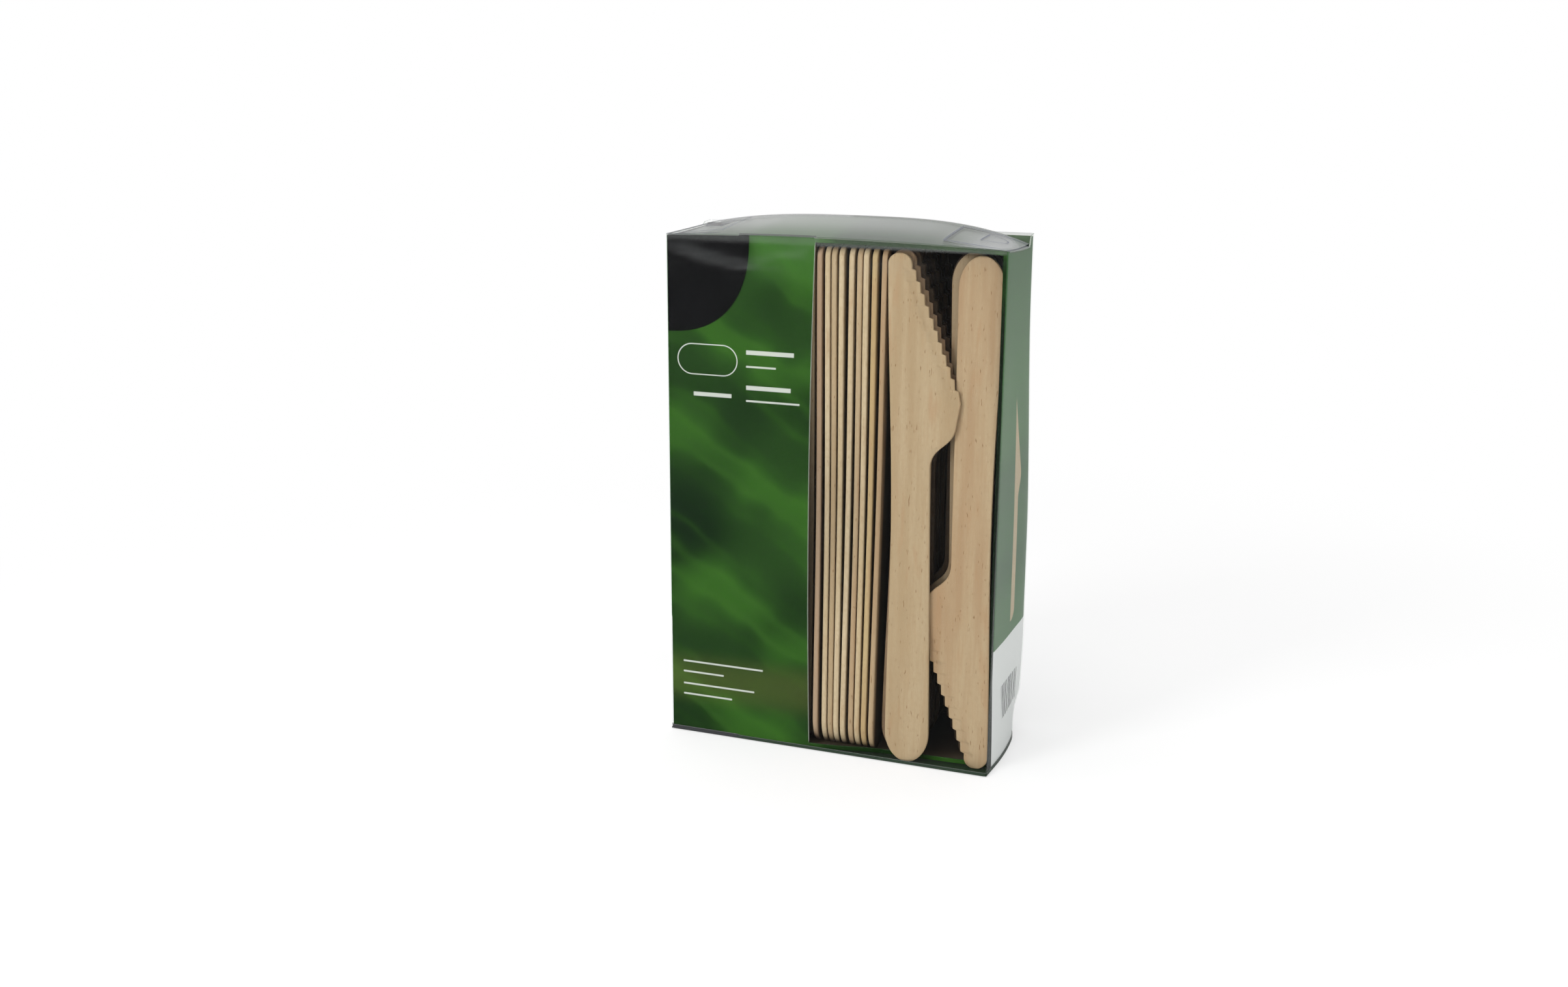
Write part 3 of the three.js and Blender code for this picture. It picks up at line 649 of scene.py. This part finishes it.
def card_walls():
    """The plan's ring at each height. The front leans out with the film, except the foot strip
    under the window, and the window's cut edge bows left by 4.8 (z/H)(1 - z/H)."""
    tab = (TAB_LEFT - 0.1, TAB_LEFT + 0.1, WINDOW_LEFT - 0.5, WINDOW_LEFT - 0.3)
    window = (WINDOW_LEFT, CARD_HALF - SIDE_STRIP)
    plan = wall_ring(CARD_HALF, CARD_FRONT, CARD_BACK, 0.8, tab + window)
    inner = plan.copy()
    inner[:, 0] = np.clip(plan[:, 0], -CARD_HALF + CARD, CARD_HALF - CARD)
    inner[:, 1] = np.clip(plan[:, 1], CARD_FRONT + CARD, CARD_BACK - CARD)
    levels = np.linspace(2.1, 163, 44)
    top = card_top(plan[:, 0], plan[:, 1])
    z = np.empty((len(plan), len(levels) + 4))
    z[:, :2] = CARD_BOTTOM, CARD_BOTTOM + 0.5
    z[:, 2:-2] = levels
    z[:, -1] = top
    z[:, -2] = np.minimum(fold(plan[:, 0]) - 1.75, top - 0.4)
    z[:, -3] = np.minimum(z[:, -3], z[:, -2] - 0.4)
    at_cut = (abs(plan[:, 0] - WINDOW_LEFT) < 0.6) & (plan[:, 1] < 1)
    bow = WINDOW_BOW * (z / FLAT_TOP) * (1 - z / FLAT_TOP) * at_cut[:, None]
    grids = []
    for ring in (plan, inner):
        x = ring[:, :1] - bow
        bend = np.clip((x + 6) / 25, 0, 1)
        low = np.clip((z - 2.2) / 12, 0, 1) * np.clip((52 - x) / 2, 0, 1)
        follow = 1 - bend * bend * (3 - 2 * bend) * (1 - low)
        d = ring[:, 1:] + near_front(ring[:, 1:], 6.0) * swell(x, z) * follow
        grids.append(crush(np.stack([x, d, z], 2)))
    after = np.roll(plan, -1, 0)
    from_left = plan[:, 0] >= WINDOW_LEFT - 0.01
    to_strip = after[:, 0] <= CARD_HALF - SIDE_STRIP + 0.01
    in_window = from_left & to_strip & (plan[:, 1] < 1) & (after[:, 1] < 1)
    kept = np.ones((len(plan), z.shape[1] - 1), bool)
    kept[np.ix_(in_window, range(2, z.shape[1] - 2))] = False
    return sheet(*grids, kept, wrap=True)


def card_cap():
    """Top panel: springs up to just under the lid. Behind its shoulders it ends in two free
    corners, quarter circles of radius 6."""
    side_xs = np.linspace(PANEL_HALF, 54.5, 8)
    xs = np.concatenate([-side_xs[::-1], np.linspace(-43.5, 43.5, 48), side_xs])
    fold_ds = [CARD_FRONT + 0.2, 1.0, 2.0, 3.5, 5.0]
    ds = np.concatenate([fold_ds, np.linspace(6, 38.4, 20), [38.9, 39.3]])
    x, d = np.meshgrid(xs, ds, indexing="ij")
    sink = 0.1 * np.clip(d / 5, 0, 1)
    z = lid_under(x, d) - 0.18 - sink - 0.35 * np.clip((abs(x) - 26) / 6, 0, 1)
    z = np.where(abs(x) > PANEL_HALF - 0.1, np.minimum(z, lid_under(x, d) - 0.5), z)
    upper = np.stack([x, d, z], 2)
    middle_x = abs(xs[1:] + xs[:-1])[:, None] / 2
    middle_d = (ds[1:] + ds[:-1])[None, :] / 2
    from_end = PANEL_ROUND - np.clip(PANEL_HALF - middle_x, 0, PANEL_ROUND)
    from_back = PANEL_ROUND - np.clip(PANEL_BACK - middle_d, 0, PANEL_ROUND)
    rounded = from_end**2 + from_back**2 < PANEL_ROUND**2
    kept = ((middle_x < PANEL_HALF) & rounded) | (middle_d < SHOULDER)
    return sheet(crush(upper), crush(upper - (0, 0, CARD)), kept)


def card_end(side):
    """End flap folded in from a side wall: level, or a little under the lid where that is lower."""
    xs = side * np.linspace(CARD_HALF - 0.3, 41.0, 12)
    ds = np.linspace(3.0, 35.6, 16)
    x, d = np.meshgrid(xs, ds, indexing="ij")
    z = np.minimum(END_TOP, lid_under(x, d) - 0.75)
    upper = np.stack([x, d, z], 2)
    return sheet(crush(upper), crush(upper - (0, 0, END_CARD)))


def card_base():
    """Bottom panel: level, its front edge following the film's foot except under the window.
    Its outside is its lower face."""
    xs, ds = np.linspace(-54.7, 54.7, 40), np.linspace(0.5, 41.0, 20)
    upper, lower = plate(xs, ds, CARD_BOTTOM + CARD, CARD)
    for face in (upper, lower):
        follow = np.clip((1 - face[..., 0]) / 8, 0, 1)
        face[..., 1] += near_front(face[..., 1], 6.0) * swell(face[..., 0], 0) * follow
    return sheet(crush(lower), crush(upper))


sleeve = folded("card_liner", [card_walls(), card_cap(), card_end(-1), card_end(1), card_base()])
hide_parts("printed_card")
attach(sleeve, "pack")

card = Surface("printed_card", IOR=1.5, Specular_IOR_Level=0.04)
x, y, z = card.millimetres()
nx, ny, nz = card.facing()
layer = card.layer()
rear_face = ny.rise(0.70, 0.71)
side_faces = nx.abs().rise(0.70, 0.71)
lying_faces = nz.abs().rise(0.70, 0.71)
printed = layer.rise(0.98, 0.99)

# The green is soft slanting leaf ribs, lighter at the top and warmer near the foot.
slant = x * 0.5 + z * 0.86
soft = card.noise(x * 0.03, z * 0.03, 3.0, detail=2.0)
ribs = (slant * 0.17 + soft * 7).sin() * 0.5 + 0.5
fine = (slant * 0.85 + soft * 16).sin() * 0.5 + 0.5
deep = card.noise(x * 0.018 + 4.0, z * 0.02, 7.0, detail=1.0)
green = card.mix(deep.rise(0.36, 0.62), (0.003, 0.015, 0.003), (0.015, 0.052, 0.008))
green = card.mix(ribs.power(2.0) * deep.rise(0.3, 0.6) * 0.75, green, (0.034, 0.120, 0.012))
green = card.mix(fine.power(3.0) * ribs * 0.22, green, (0.05, 0.16, 0.02))
green = card.mix(z.band(13, 26, 5.0) * 0.3, green, (0.12, 0.13, 0.035))
green = card.mix(z.rise(150, 166) * x.band(-26, 0, 3) * 0.5, green, (0.065, 0.19, 0.035))

# Front: a black quarter-round corner, an outlined pill and plain bars on the green.
CORNER_WIDE, CORNER_TALL, CORNER_POWER = 28, 31, 2.4
PILL_X, PILL_Z, PILL_STRAIGHT, PILL_LINE = -41.2, 128.4, 5.2, (4.75, 5.1)
BARS = (
    (-28, -12, 130.9, 132.3), (-28, -18, 126.7, 127.3), (-28, -13, 119.5, 120.9),
    (-28, -10, 115.6, 116.2), (-46, -33, 116.4, 117.7), (-50.5, -22, 24.7, 25.3),
    (-50.5, -36, 21.0, 21.6), (-50.5, -25, 16.7, 17.3), (-50.5, -33, 13.0, 13.6),
)
corner = ((x + 55) / CORNER_WIDE).larger(0.0).power(CORNER_POWER)
corner = corner + ((168 - z) / CORNER_TALL).larger(0.0).power(CORNER_POWER)
ink = card.mix(1 - corner.rise(0.985, 1.015), green, (0.0015, 0.0015, 0.002))
reach = ((x - PILL_X).abs() - PILL_STRAIGHT).larger(0.0)
pill = (reach * reach + (z - PILL_Z) * (z - PILL_Z)).power(0.5)
marks = pill.band(*PILL_LINE, 0.08)
for x0, x1, z0, z1 in BARS:
    marks = marks.larger(x.band(x0, x1, 0.12) * z.band(z0, z1, 0.12))
ink = card.mix(marks * 0.8, ink, (0.66, 0.68, 0.64))
cut = x - WINDOW_LEFT + WINDOW_BOW * (z / FLAT_TOP) * (1 - z / FLAT_TOP)
cut_line = cut.band(-0.22, 0.3, 0.05) * (1 - z.rise(166, 167)) * z.rise(2, 3)
ink = card.mix(cut_line * 0.5, ink, (0.36, 0.39, 0.34))
# Painted shade: the thin strip right of the window is darkened, less towards the top.
ink = card.mix(x.rise(53.3, 53.5) * (1 - z.rise(140, 168) * 0.8), ink, (0.006, 0.012, 0.006))

# Sides: green with a plain tapered shape, above a pale foot with plain stripes.
PALE, SHAPE_EDGE, SHAPE_FOOT, SHAPE_TOP = (0.80, 0.81, 0.81), 21.5, 43.5, 118.0
across = y + MID_DEPTH
hem = 40.2 - across * 0.03 - (across * 0.11).sin() * 0.5
flank = card.mix(deep.rise(0.4, 0.6), (0.024, 0.092, 0.026), (0.045, 0.15, 0.038))
flank = card.mix(ribs * 0.3, flank, (0.06, 0.19, 0.05))
flank = card.mix(z.rise(20, 150) * 0.25, flank, (0.10, 0.17, 0.09))
wide = (4.6 + 3.4 * z.rise(84, 92)).smaller((118.5 - z) * 0.31)
foot_round = (1 - ((47 - z) / 3.5).larger(0.0).smaller(1.0).power(2.0)).power(0.5)
past_edge = across - SHAPE_EDGE
shape = past_edge.rise(0, 0.25) * (1 - (past_edge - wide * foot_round).rise(0, 0.25))
shape = shape * z.rise(SHAPE_FOOT - 0.1, SHAPE_FOOT + 0.1)
shape = shape * (1 - z.rise(SHAPE_TOP - 0.1, SHAPE_TOP + 0.1))
flank = card.mix(shape, flank, (0.50, 0.39, 0.24))
flank = card.mix(1 - z.rise(hem - 0.1, hem + 0.1), flank, PALE)
stripes = ((across * 3.9).sin() + (across * 2.3).sin() * 0.8).rise(0.0, 0.15)
stripes = stripes * across.band(12, 33, 0.1) * z.band(13, 24, 0.1)
flank = card.mix(stripes, flank, (0.012, 0.012, 0.015))

# Back, ends, inside and cut edges. A bare label on the back, a plain green top, a pale bottom.
rear = card.mix(x.band(-40, 40, 0.15) * z.band(24, 96, 0.15), green, PALE)
plain_green = card.mix(0.5, green, (0.02, 0.06, 0.015))
lying = card.mix(1 - z.rise(20, 30), plain_green, PALE)
fibres = card.noise(x * 3, y * 3, z * 3, detail=3.0)
# Painted shade: the brown board inside is darkened to near black, lighter brown towards the floor.
inside = card.mix(fibres, (0.016, 0.010, 0.008), (0.034, 0.022, 0.016))
inside = card.mix(z.rise(160, 163) * x.rise(40, 44), inside, (0.12, 0.17, 0.11))
inside = card.mix(1 - z.rise(1.2, 9), inside, (0.075, 0.055, 0.038))
raw = card.mix(z.rise(2.4, 2.8), (0.02, 0.06, 0.015), (0.42, 0.42, 0.38))
colour = ink
for share, face_colour in ((rear_face, rear), (side_faces, flank), (lying_faces, lying)):
    colour = card.mix(share, colour, face_colour)
colour = card.mix(layer.band(0.02, 0.98, 0.01), colour, raw)
colour = card.mix(1 - layer.rise(0.01, 0.02), colour, inside)
scuffs = card.noise(x * 0.4, y * 0.4, z * 0.4, detail=5.0)
card.paint(colour, 0.62 - printed * 0.3 + scuffs * 0.12, fibres, 0.00001)

# The varnish shines on the top panel at a flat angle, more to the back.
flat = card.node("LayerWeight", outlet="Facing", Blend=0.5)
varnish = card.node("BsdfGlossy", Color=(1.0, 1.0, 1.0), Roughness=0.3)
toward_back = 0.35 + 0.85 * y.rise(-19, 10)
card.blend_with(flat.power(4.0) * lying_faces * printed * toward_back, varnish)
wear(sleeve, card.material)


# Clear film
# The carton is one folded sheet of film 0.25 mm thick with blue-grey cut edges: walls, floor,
# bottom flaps and top dust flaps. The cover is its lid, with the fold and the tucked tongue.
FLAP_LENGTHS = {-1: 16.5, 1: 22.0}
LID_BACK, TURN, TURN_DROP = 40.1, 0.38, 0.3
TONGUE, TONGUE_ROUND, TONGUE_CURVE = 7.6, 6, 0.0042


def film_walls():
    """The plan's ring at each share of its top's height, leaning out with the front's swell."""
    outer = wall_ring(HALF, 0.0, DEPTH, 1.2)
    inner = np.stack([
        np.clip(outer[:, 0], -HALF + FILM, HALF - FILM), np.clip(outer[:, 1], FILM, DEPTH - FILM)
    ], 1)
    share = np.concatenate([np.linspace(0, 0.1, 7)[:-1], np.linspace(0.1, 1, 26)])
    x, d = outer[:, :1], outer[:, 1:]
    side_top = lid_under(np.sign(x) * LID_HALF, d) - 0.18
    top = np.where(d > DEPTH - 6, FLAT_TOP, side_top)
    top = np.where(d < 2.5, fold(x) - 0.32, top)
    z = top * share[None, :]
    grids = []
    for ring in (outer, inner):
        x = np.repeat(ring[:, :1], len(share), 1)
        d = ring[:, 1:] + near_front(ring[:, 1:], 1.3) * swell(x, z)
        grids.append(crush(np.stack([x, d, z], 2)))
    return sheet(*grids, wrap=True)


def film_floor():
    """Level, drawn forward with the front's foot by the cube of the nearness to the front."""
    xs, ds = np.linspace(-HALF + 0.1, HALF - 0.1, 40), np.linspace(0.1, DEPTH - 0.1, 24)
    upper, lower = plate(xs, ds, FILM, FILM)
    for face in (upper, lower):
        face[..., 1] += (1 - face[..., 1] / DEPTH) ** 3 * swell(face[..., 0], 0)
    return sheet(crush(lower), crush(upper))


def floor_flap(side):
    """Bottom flap: level, on the floor, from a side wall inwards."""
    xs, ds = side * np.linspace(HALF - 0.4, HALF - 22, 10), np.linspace(2.5, 36.9, 12)
    upper, lower = plate(xs, ds, 0.6, FILM)
    return sheet(crush(lower), crush(upper))


def dust_flap(side, length):
    """Top dust flap just under the lid: its front edge runs back evenly towards the free edge,
    and the left one sags by a square law. Its free borders are marked as cut edges."""
    root = HALF - 0.13
    end = HALF - length
    reach = np.concatenate([[root, 54.0, 51.3, 51.2], np.linspace(50.5, end + 0.4, 9), [end]])
    rows = np.concatenate([[0, 0.016], np.linspace(0.06, 0.94, 14), [0.984, 1]])
    x = np.repeat(reach[:, None], len(rows), 1)
    back = np.where(x > 51.25, DEPTH - 6.0, DEPTH - 5.0)
    lead = 2.5 + 5.5 * (root - x) / length
    d = lead + (back - lead) * rows
    sag = 0.18 + 0.5 * ((root - x) / length) ** 2 * (side < 0)
    z = lid_under(side * np.minimum(x, LID_HALF), d) - sag
    upper = np.stack([side * x, d, z], 2)
    points, faces, layer = sheet(crush(upper), crush(upper - (0, 0, FILM)))
    border = np.zeros(x.shape, bool)
    border[-1], border[:, 0], border[:, -1] = True, True, True
    layer[:x.size][border.ravel()] = 0.6
    return points, faces, layer


def lid_sheet():
    """Rows across the lid: a roll over the front fold, the arched panel, the turn at its back and
    the tongue, which curves forward by 0.0042 t^2 at a drop t. The tongue's lower corners are
    quarter circles. dz is the height above the row's own line."""
    back_half = lid_half(40.0)
    tongue_half = back_half - 3.0
    tongue_us = [-tongue_half / back_half, tongue_half / back_half]
    u = np.unique(np.concatenate([np.linspace(-1, 1, 57), tongue_us]))
    level = 0 * u
    rows_out, rows_in = [], []

    # d, dz, and the shares of the film's thickness that go along d and down z
    roll = ((0.0, -0.31, 1, 0), (0.0, -0.16, 1, 0), (0.05, -0.06, 0.7, 0.5),
            (0.15, -0.01, 0.35, 0.9), (0.3, 0.0, 0, 1))
    for d, dz, in_depth, in_height in roll:
        x = u * lid_half(0)
        rows_out.append(np.stack([x, d + level, fold(x) + dz], 1))
        inner_d, inner_z = d + FILM * in_depth, dz - FILM * in_height
        rows_in.append(np.stack([x, inner_d + level, fold(x) + inner_z], 1))

    panel = np.linspace(0.8, LID_BACK, 22)
    for d in panel:
        x = u * lid_half(d)
        z = lid_under(x, d) + FILM
        rows_out.append(np.stack([x, d + level, z], 1))
        rows_in.append(np.stack([x, d - 0.1 * (d == LID_BACK) + level, z - FILM], 1))

    x = u * lid_half(LID_BACK)
    top = lid_under(x, LID_BACK) + FILM
    past = np.clip(abs(x) - (tongue_half - TONGUE_ROUND), 0, TONGUE_ROUND)
    lift = TONGUE_ROUND - np.sqrt(TONGUE_ROUND**2 - past**2)
    turn_back = [(LID_BACK + 0.25, -0.05), (LID_BACK + TURN, -TURN_DROP)]
    drops = np.linspace(0, TONGUE, 9)[1:]
    tongue = [(LID_BACK + TURN - TONGUE_CURVE * t * t, -TURN_DROP - t) for t in drops]
    for d, dz in turn_back + tongue:
        low = np.maximum(dz, lift - TONGUE - TURN_DROP) if dz < -TURN_DROP else dz + level
        inner_low = low - (0.15 if dz > -0.2 else 0)
        rows_out.append(np.stack([x, d + level, top + low], 1))
        rows_in.append(np.stack([x, d - FILM + level, top + inner_low], 1))

    outside, inside = np.stack(rows_out, 1), np.stack(rows_in, 1)
    outside[..., 1] -= MID_DEPTH
    inside[..., 1] -= MID_DEPTH
    kept = np.ones((len(u) - 1, outside.shape[1] - 1), bool)
    beside_tongue = abs(x[1:] + x[:-1]) / 2 > tongue_half
    kept[np.ix_(beside_tongue, range(len(roll) + len(panel), kept.shape[1]))] = False
    return sheet(outside, inside, kept)


SLIT_X, SLIT_Y, SLIT_ROUND = 42.8, 6.8, (6.9, 7.3)
FLAP_ROOT, FLAP_SLANT, FLAP_FRONT_Y, FLAP_BACK_Y = 55.1, 5.5, -15.65, 18.7


def flap_lines(x, y, side, length):
    """1 on the free borders of a dust flap and on its half-round slit, as seen through the lid:
    the distance r from the slit's middle gives its arc, and the flap's own outline the rest."""
    s = x * side
    off = s - SLIT_X
    r = (off * off + (y - SLIT_Y) * (y - SLIT_Y)).power(0.5)
    arc = r.band(*SLIT_ROUND, 0.1) * off.rise(-0.1, 0.1)
    chord = off.band(-0.2, 0.2, 0.08) * (1 - r.rise(7.2, 7.3))
    lead = (FLAP_ROOT - s) * FLAP_SLANT / length + FLAP_FRONT_Y
    within = s.band(FLAP_ROOT - length, 54.6, 0.1)
    end_line = (s - 55.2 + length).abs().band(-1, 0.2, 0.1) * (y - lead).rise(-0.1, 0.1)
    end_line = end_line * (1 - y.rise(FLAP_BACK_Y, FLAP_BACK_Y + 0.1))
    front_line = within * (y - lead).band(0.0, 0.9, 0.2)
    back_line = within * y.band(17.9, 18.8, 0.2)
    return end_line.larger(front_line).larger(back_line).larger(arc.larger(chord))


def film(name, gleam, flaps=()):
    """Clear film. Its dull parts are the cut edges, the foot of the carton, painted dark as the
    reflection of its bottom fold, the front of its floor, painted dark as shade, the lid's back
    crest, a band along the front's top, painted as a reflection, and the card's tab behind the
    fold, each with its own tint, and a veil on the sides, a soft painted reflection across the
    front's top, specks and dust. The rest is transparent, and over all lies a gloss that grows
    with the 4.5th power of the slant. flaps holds the side and length of each dust flap that is
    drawn on the film."""
    clear = Surface(name, IOR=1.5, Roughness=0.35, Specular_IOR_Level=0.08)
    x, y, z = clear.millimetres()
    nx, ny, nz = clear.facing()
    turned = clear.node("LayerWeight", outlet="Facing", Blend=0.5)
    mirror = 0.001 + gleam * turned.power(4.5)
    front_wall = (ny * -1).rise(0.8, 0.9)
    dust = clear.noise(x * 0.9, y * 0.9, z * 0.9, detail=6.0, roughness=0.7)
    cloud = clear.noise(x * 0.03, y * 0.03, z * 0.03, detail=3.0)
    specks = clear.noise(x * 1.3, y * 1.3, z * 1.3, detail=1.0).rise(0.80, 0.84)

    edge = clear.layer().band(0.02, 0.98, 0.01)
    lid_face = nz.abs().rise(0.6, 0.7) * z.rise(150, 151)
    for side, length in flaps:
        edge = edge.larger(flap_lines(x, y, side, length) * lid_face)
    rim = clear.mix(x.abs().rise(54.6, 54.8), (0.04, 0.055, 0.115), (0.25, 0.31, 0.26))

    # Painted reflection: a dark band along the foot of the walls, for the film's bottom fold.
    tall = 0.95 + 0.3 * (1 - x.rise(-31, -30))
    foot = (1 - z.rise(tall, tall + 0.2)) * (1 - nz.abs().rise(0.6, 0.8)) * 0.85
    # Painted shade: the front of the film's floor is dark where the pack shades it.
    floor_front_shade = (1 - z.rise(0.5, 0.6)) * (1 - y.rise(-11.0, -9.0)) * nz.abs().rise(0.8, 0.9) * 0.9
    foot = foot.larger(floor_front_shade)
    foot_reflection_tint = clear.mix(x.rise(-33, -28), (0.05, 0.052, 0.055), (0.035, 0.055, 0.037))

    veil = nx.abs().rise(0.8, 0.9) * (0.05 - 0.03 * z.rise(60, 160))
    veil = veil + x.rise(36, 52) * z.rise(163, 164) * nz.abs().rise(0.5, 0.7) * 0.42
    crest = y.rise(21.6, 21.9) * (1 - y.rise(22.4, 22.6)) * z.rise(160, 161)
    crest = crest * 0.35 * (1 - nx.abs().rise(0.5, 0.6))
    # Painted reflection: a soft grey band across the top of the front, fainter over the window.
    streak_noise = clear.noise(x * 0.05, y, z * 0.22).rise(0.4, 0.75)
    reflection_streak = front_wall * z.band(157, 165, 3.0) * streak_noise * 0.05
    reflection_streak = reflection_streak * (1 - x.rise(-10, -4) * 0.8)
    # Painted reflection: a dark green band along the front's top, where the fold mirrors, stronger
    # over the window.
    top_reflection_band = front_wall * z.rise(165.8, 167.6) * (0.05 + 0.15 * x.rise(-6, -4))
    tab = x.band(TAB_LEFT - 0.2, WINDOW_LEFT + 0.1, 0.1) * y.band(-17.8, -16.6, 0.1)
    tab = tab * nz.abs().rise(0.5, 0.7) * z.rise(164, 165)

    dull = 0.001 + 0.004 * cloud * dust + specks * 0.08 + edge * 0.75 + foot + veil
    dull = dull + reflection_streak + top_reflection_band + crest + tab * 0.8
    tint = (0.60, 0.62, 0.62)
    for share, colour in (
        (edge, rim),
        (foot * 1.3, foot_reflection_tint),
        (floor_front_shade * 1.1, (0.012, 0.028, 0.010)),
        (crest * 2.5, (0.16, 0.17, 0.17)),
        (top_reflection_band * 4.5, (0.10, 0.14, 0.085)),
        (tab, (0.015, 0.022, 0.015)),
    ):
        tint = clear.mix(share, tint, colour)
    clear.paint(tint)
    gloss = clear.node("BsdfGlossy", Color=(1.0, 1.0, 1.0), Roughness=0.06)
    see = clear.node("BsdfTransparent", Color=(0.985, 0.99, 0.985))
    clear.blend_with(1 - dull.smaller(1.0), see)
    clear.blend_with(mirror, gloss)
    return clear.material


flaps = [dust_flap(side, length) for side, length in FLAP_LENGTHS.items()]
carton = folded("film_carton", [film_walls(), film_floor(), floor_flap(-1), floor_flap(1), *flaps])
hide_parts("clear_box")
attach(carton, "pack")
wear(carton, film("film_carton", 0.09))
cover = folded("film_cover", [lid_sheet()])
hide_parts("clear_lid")
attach(cover, "lid")
wear(cover, film("film_cover", 0.42, FLAP_LENGTHS.items()))
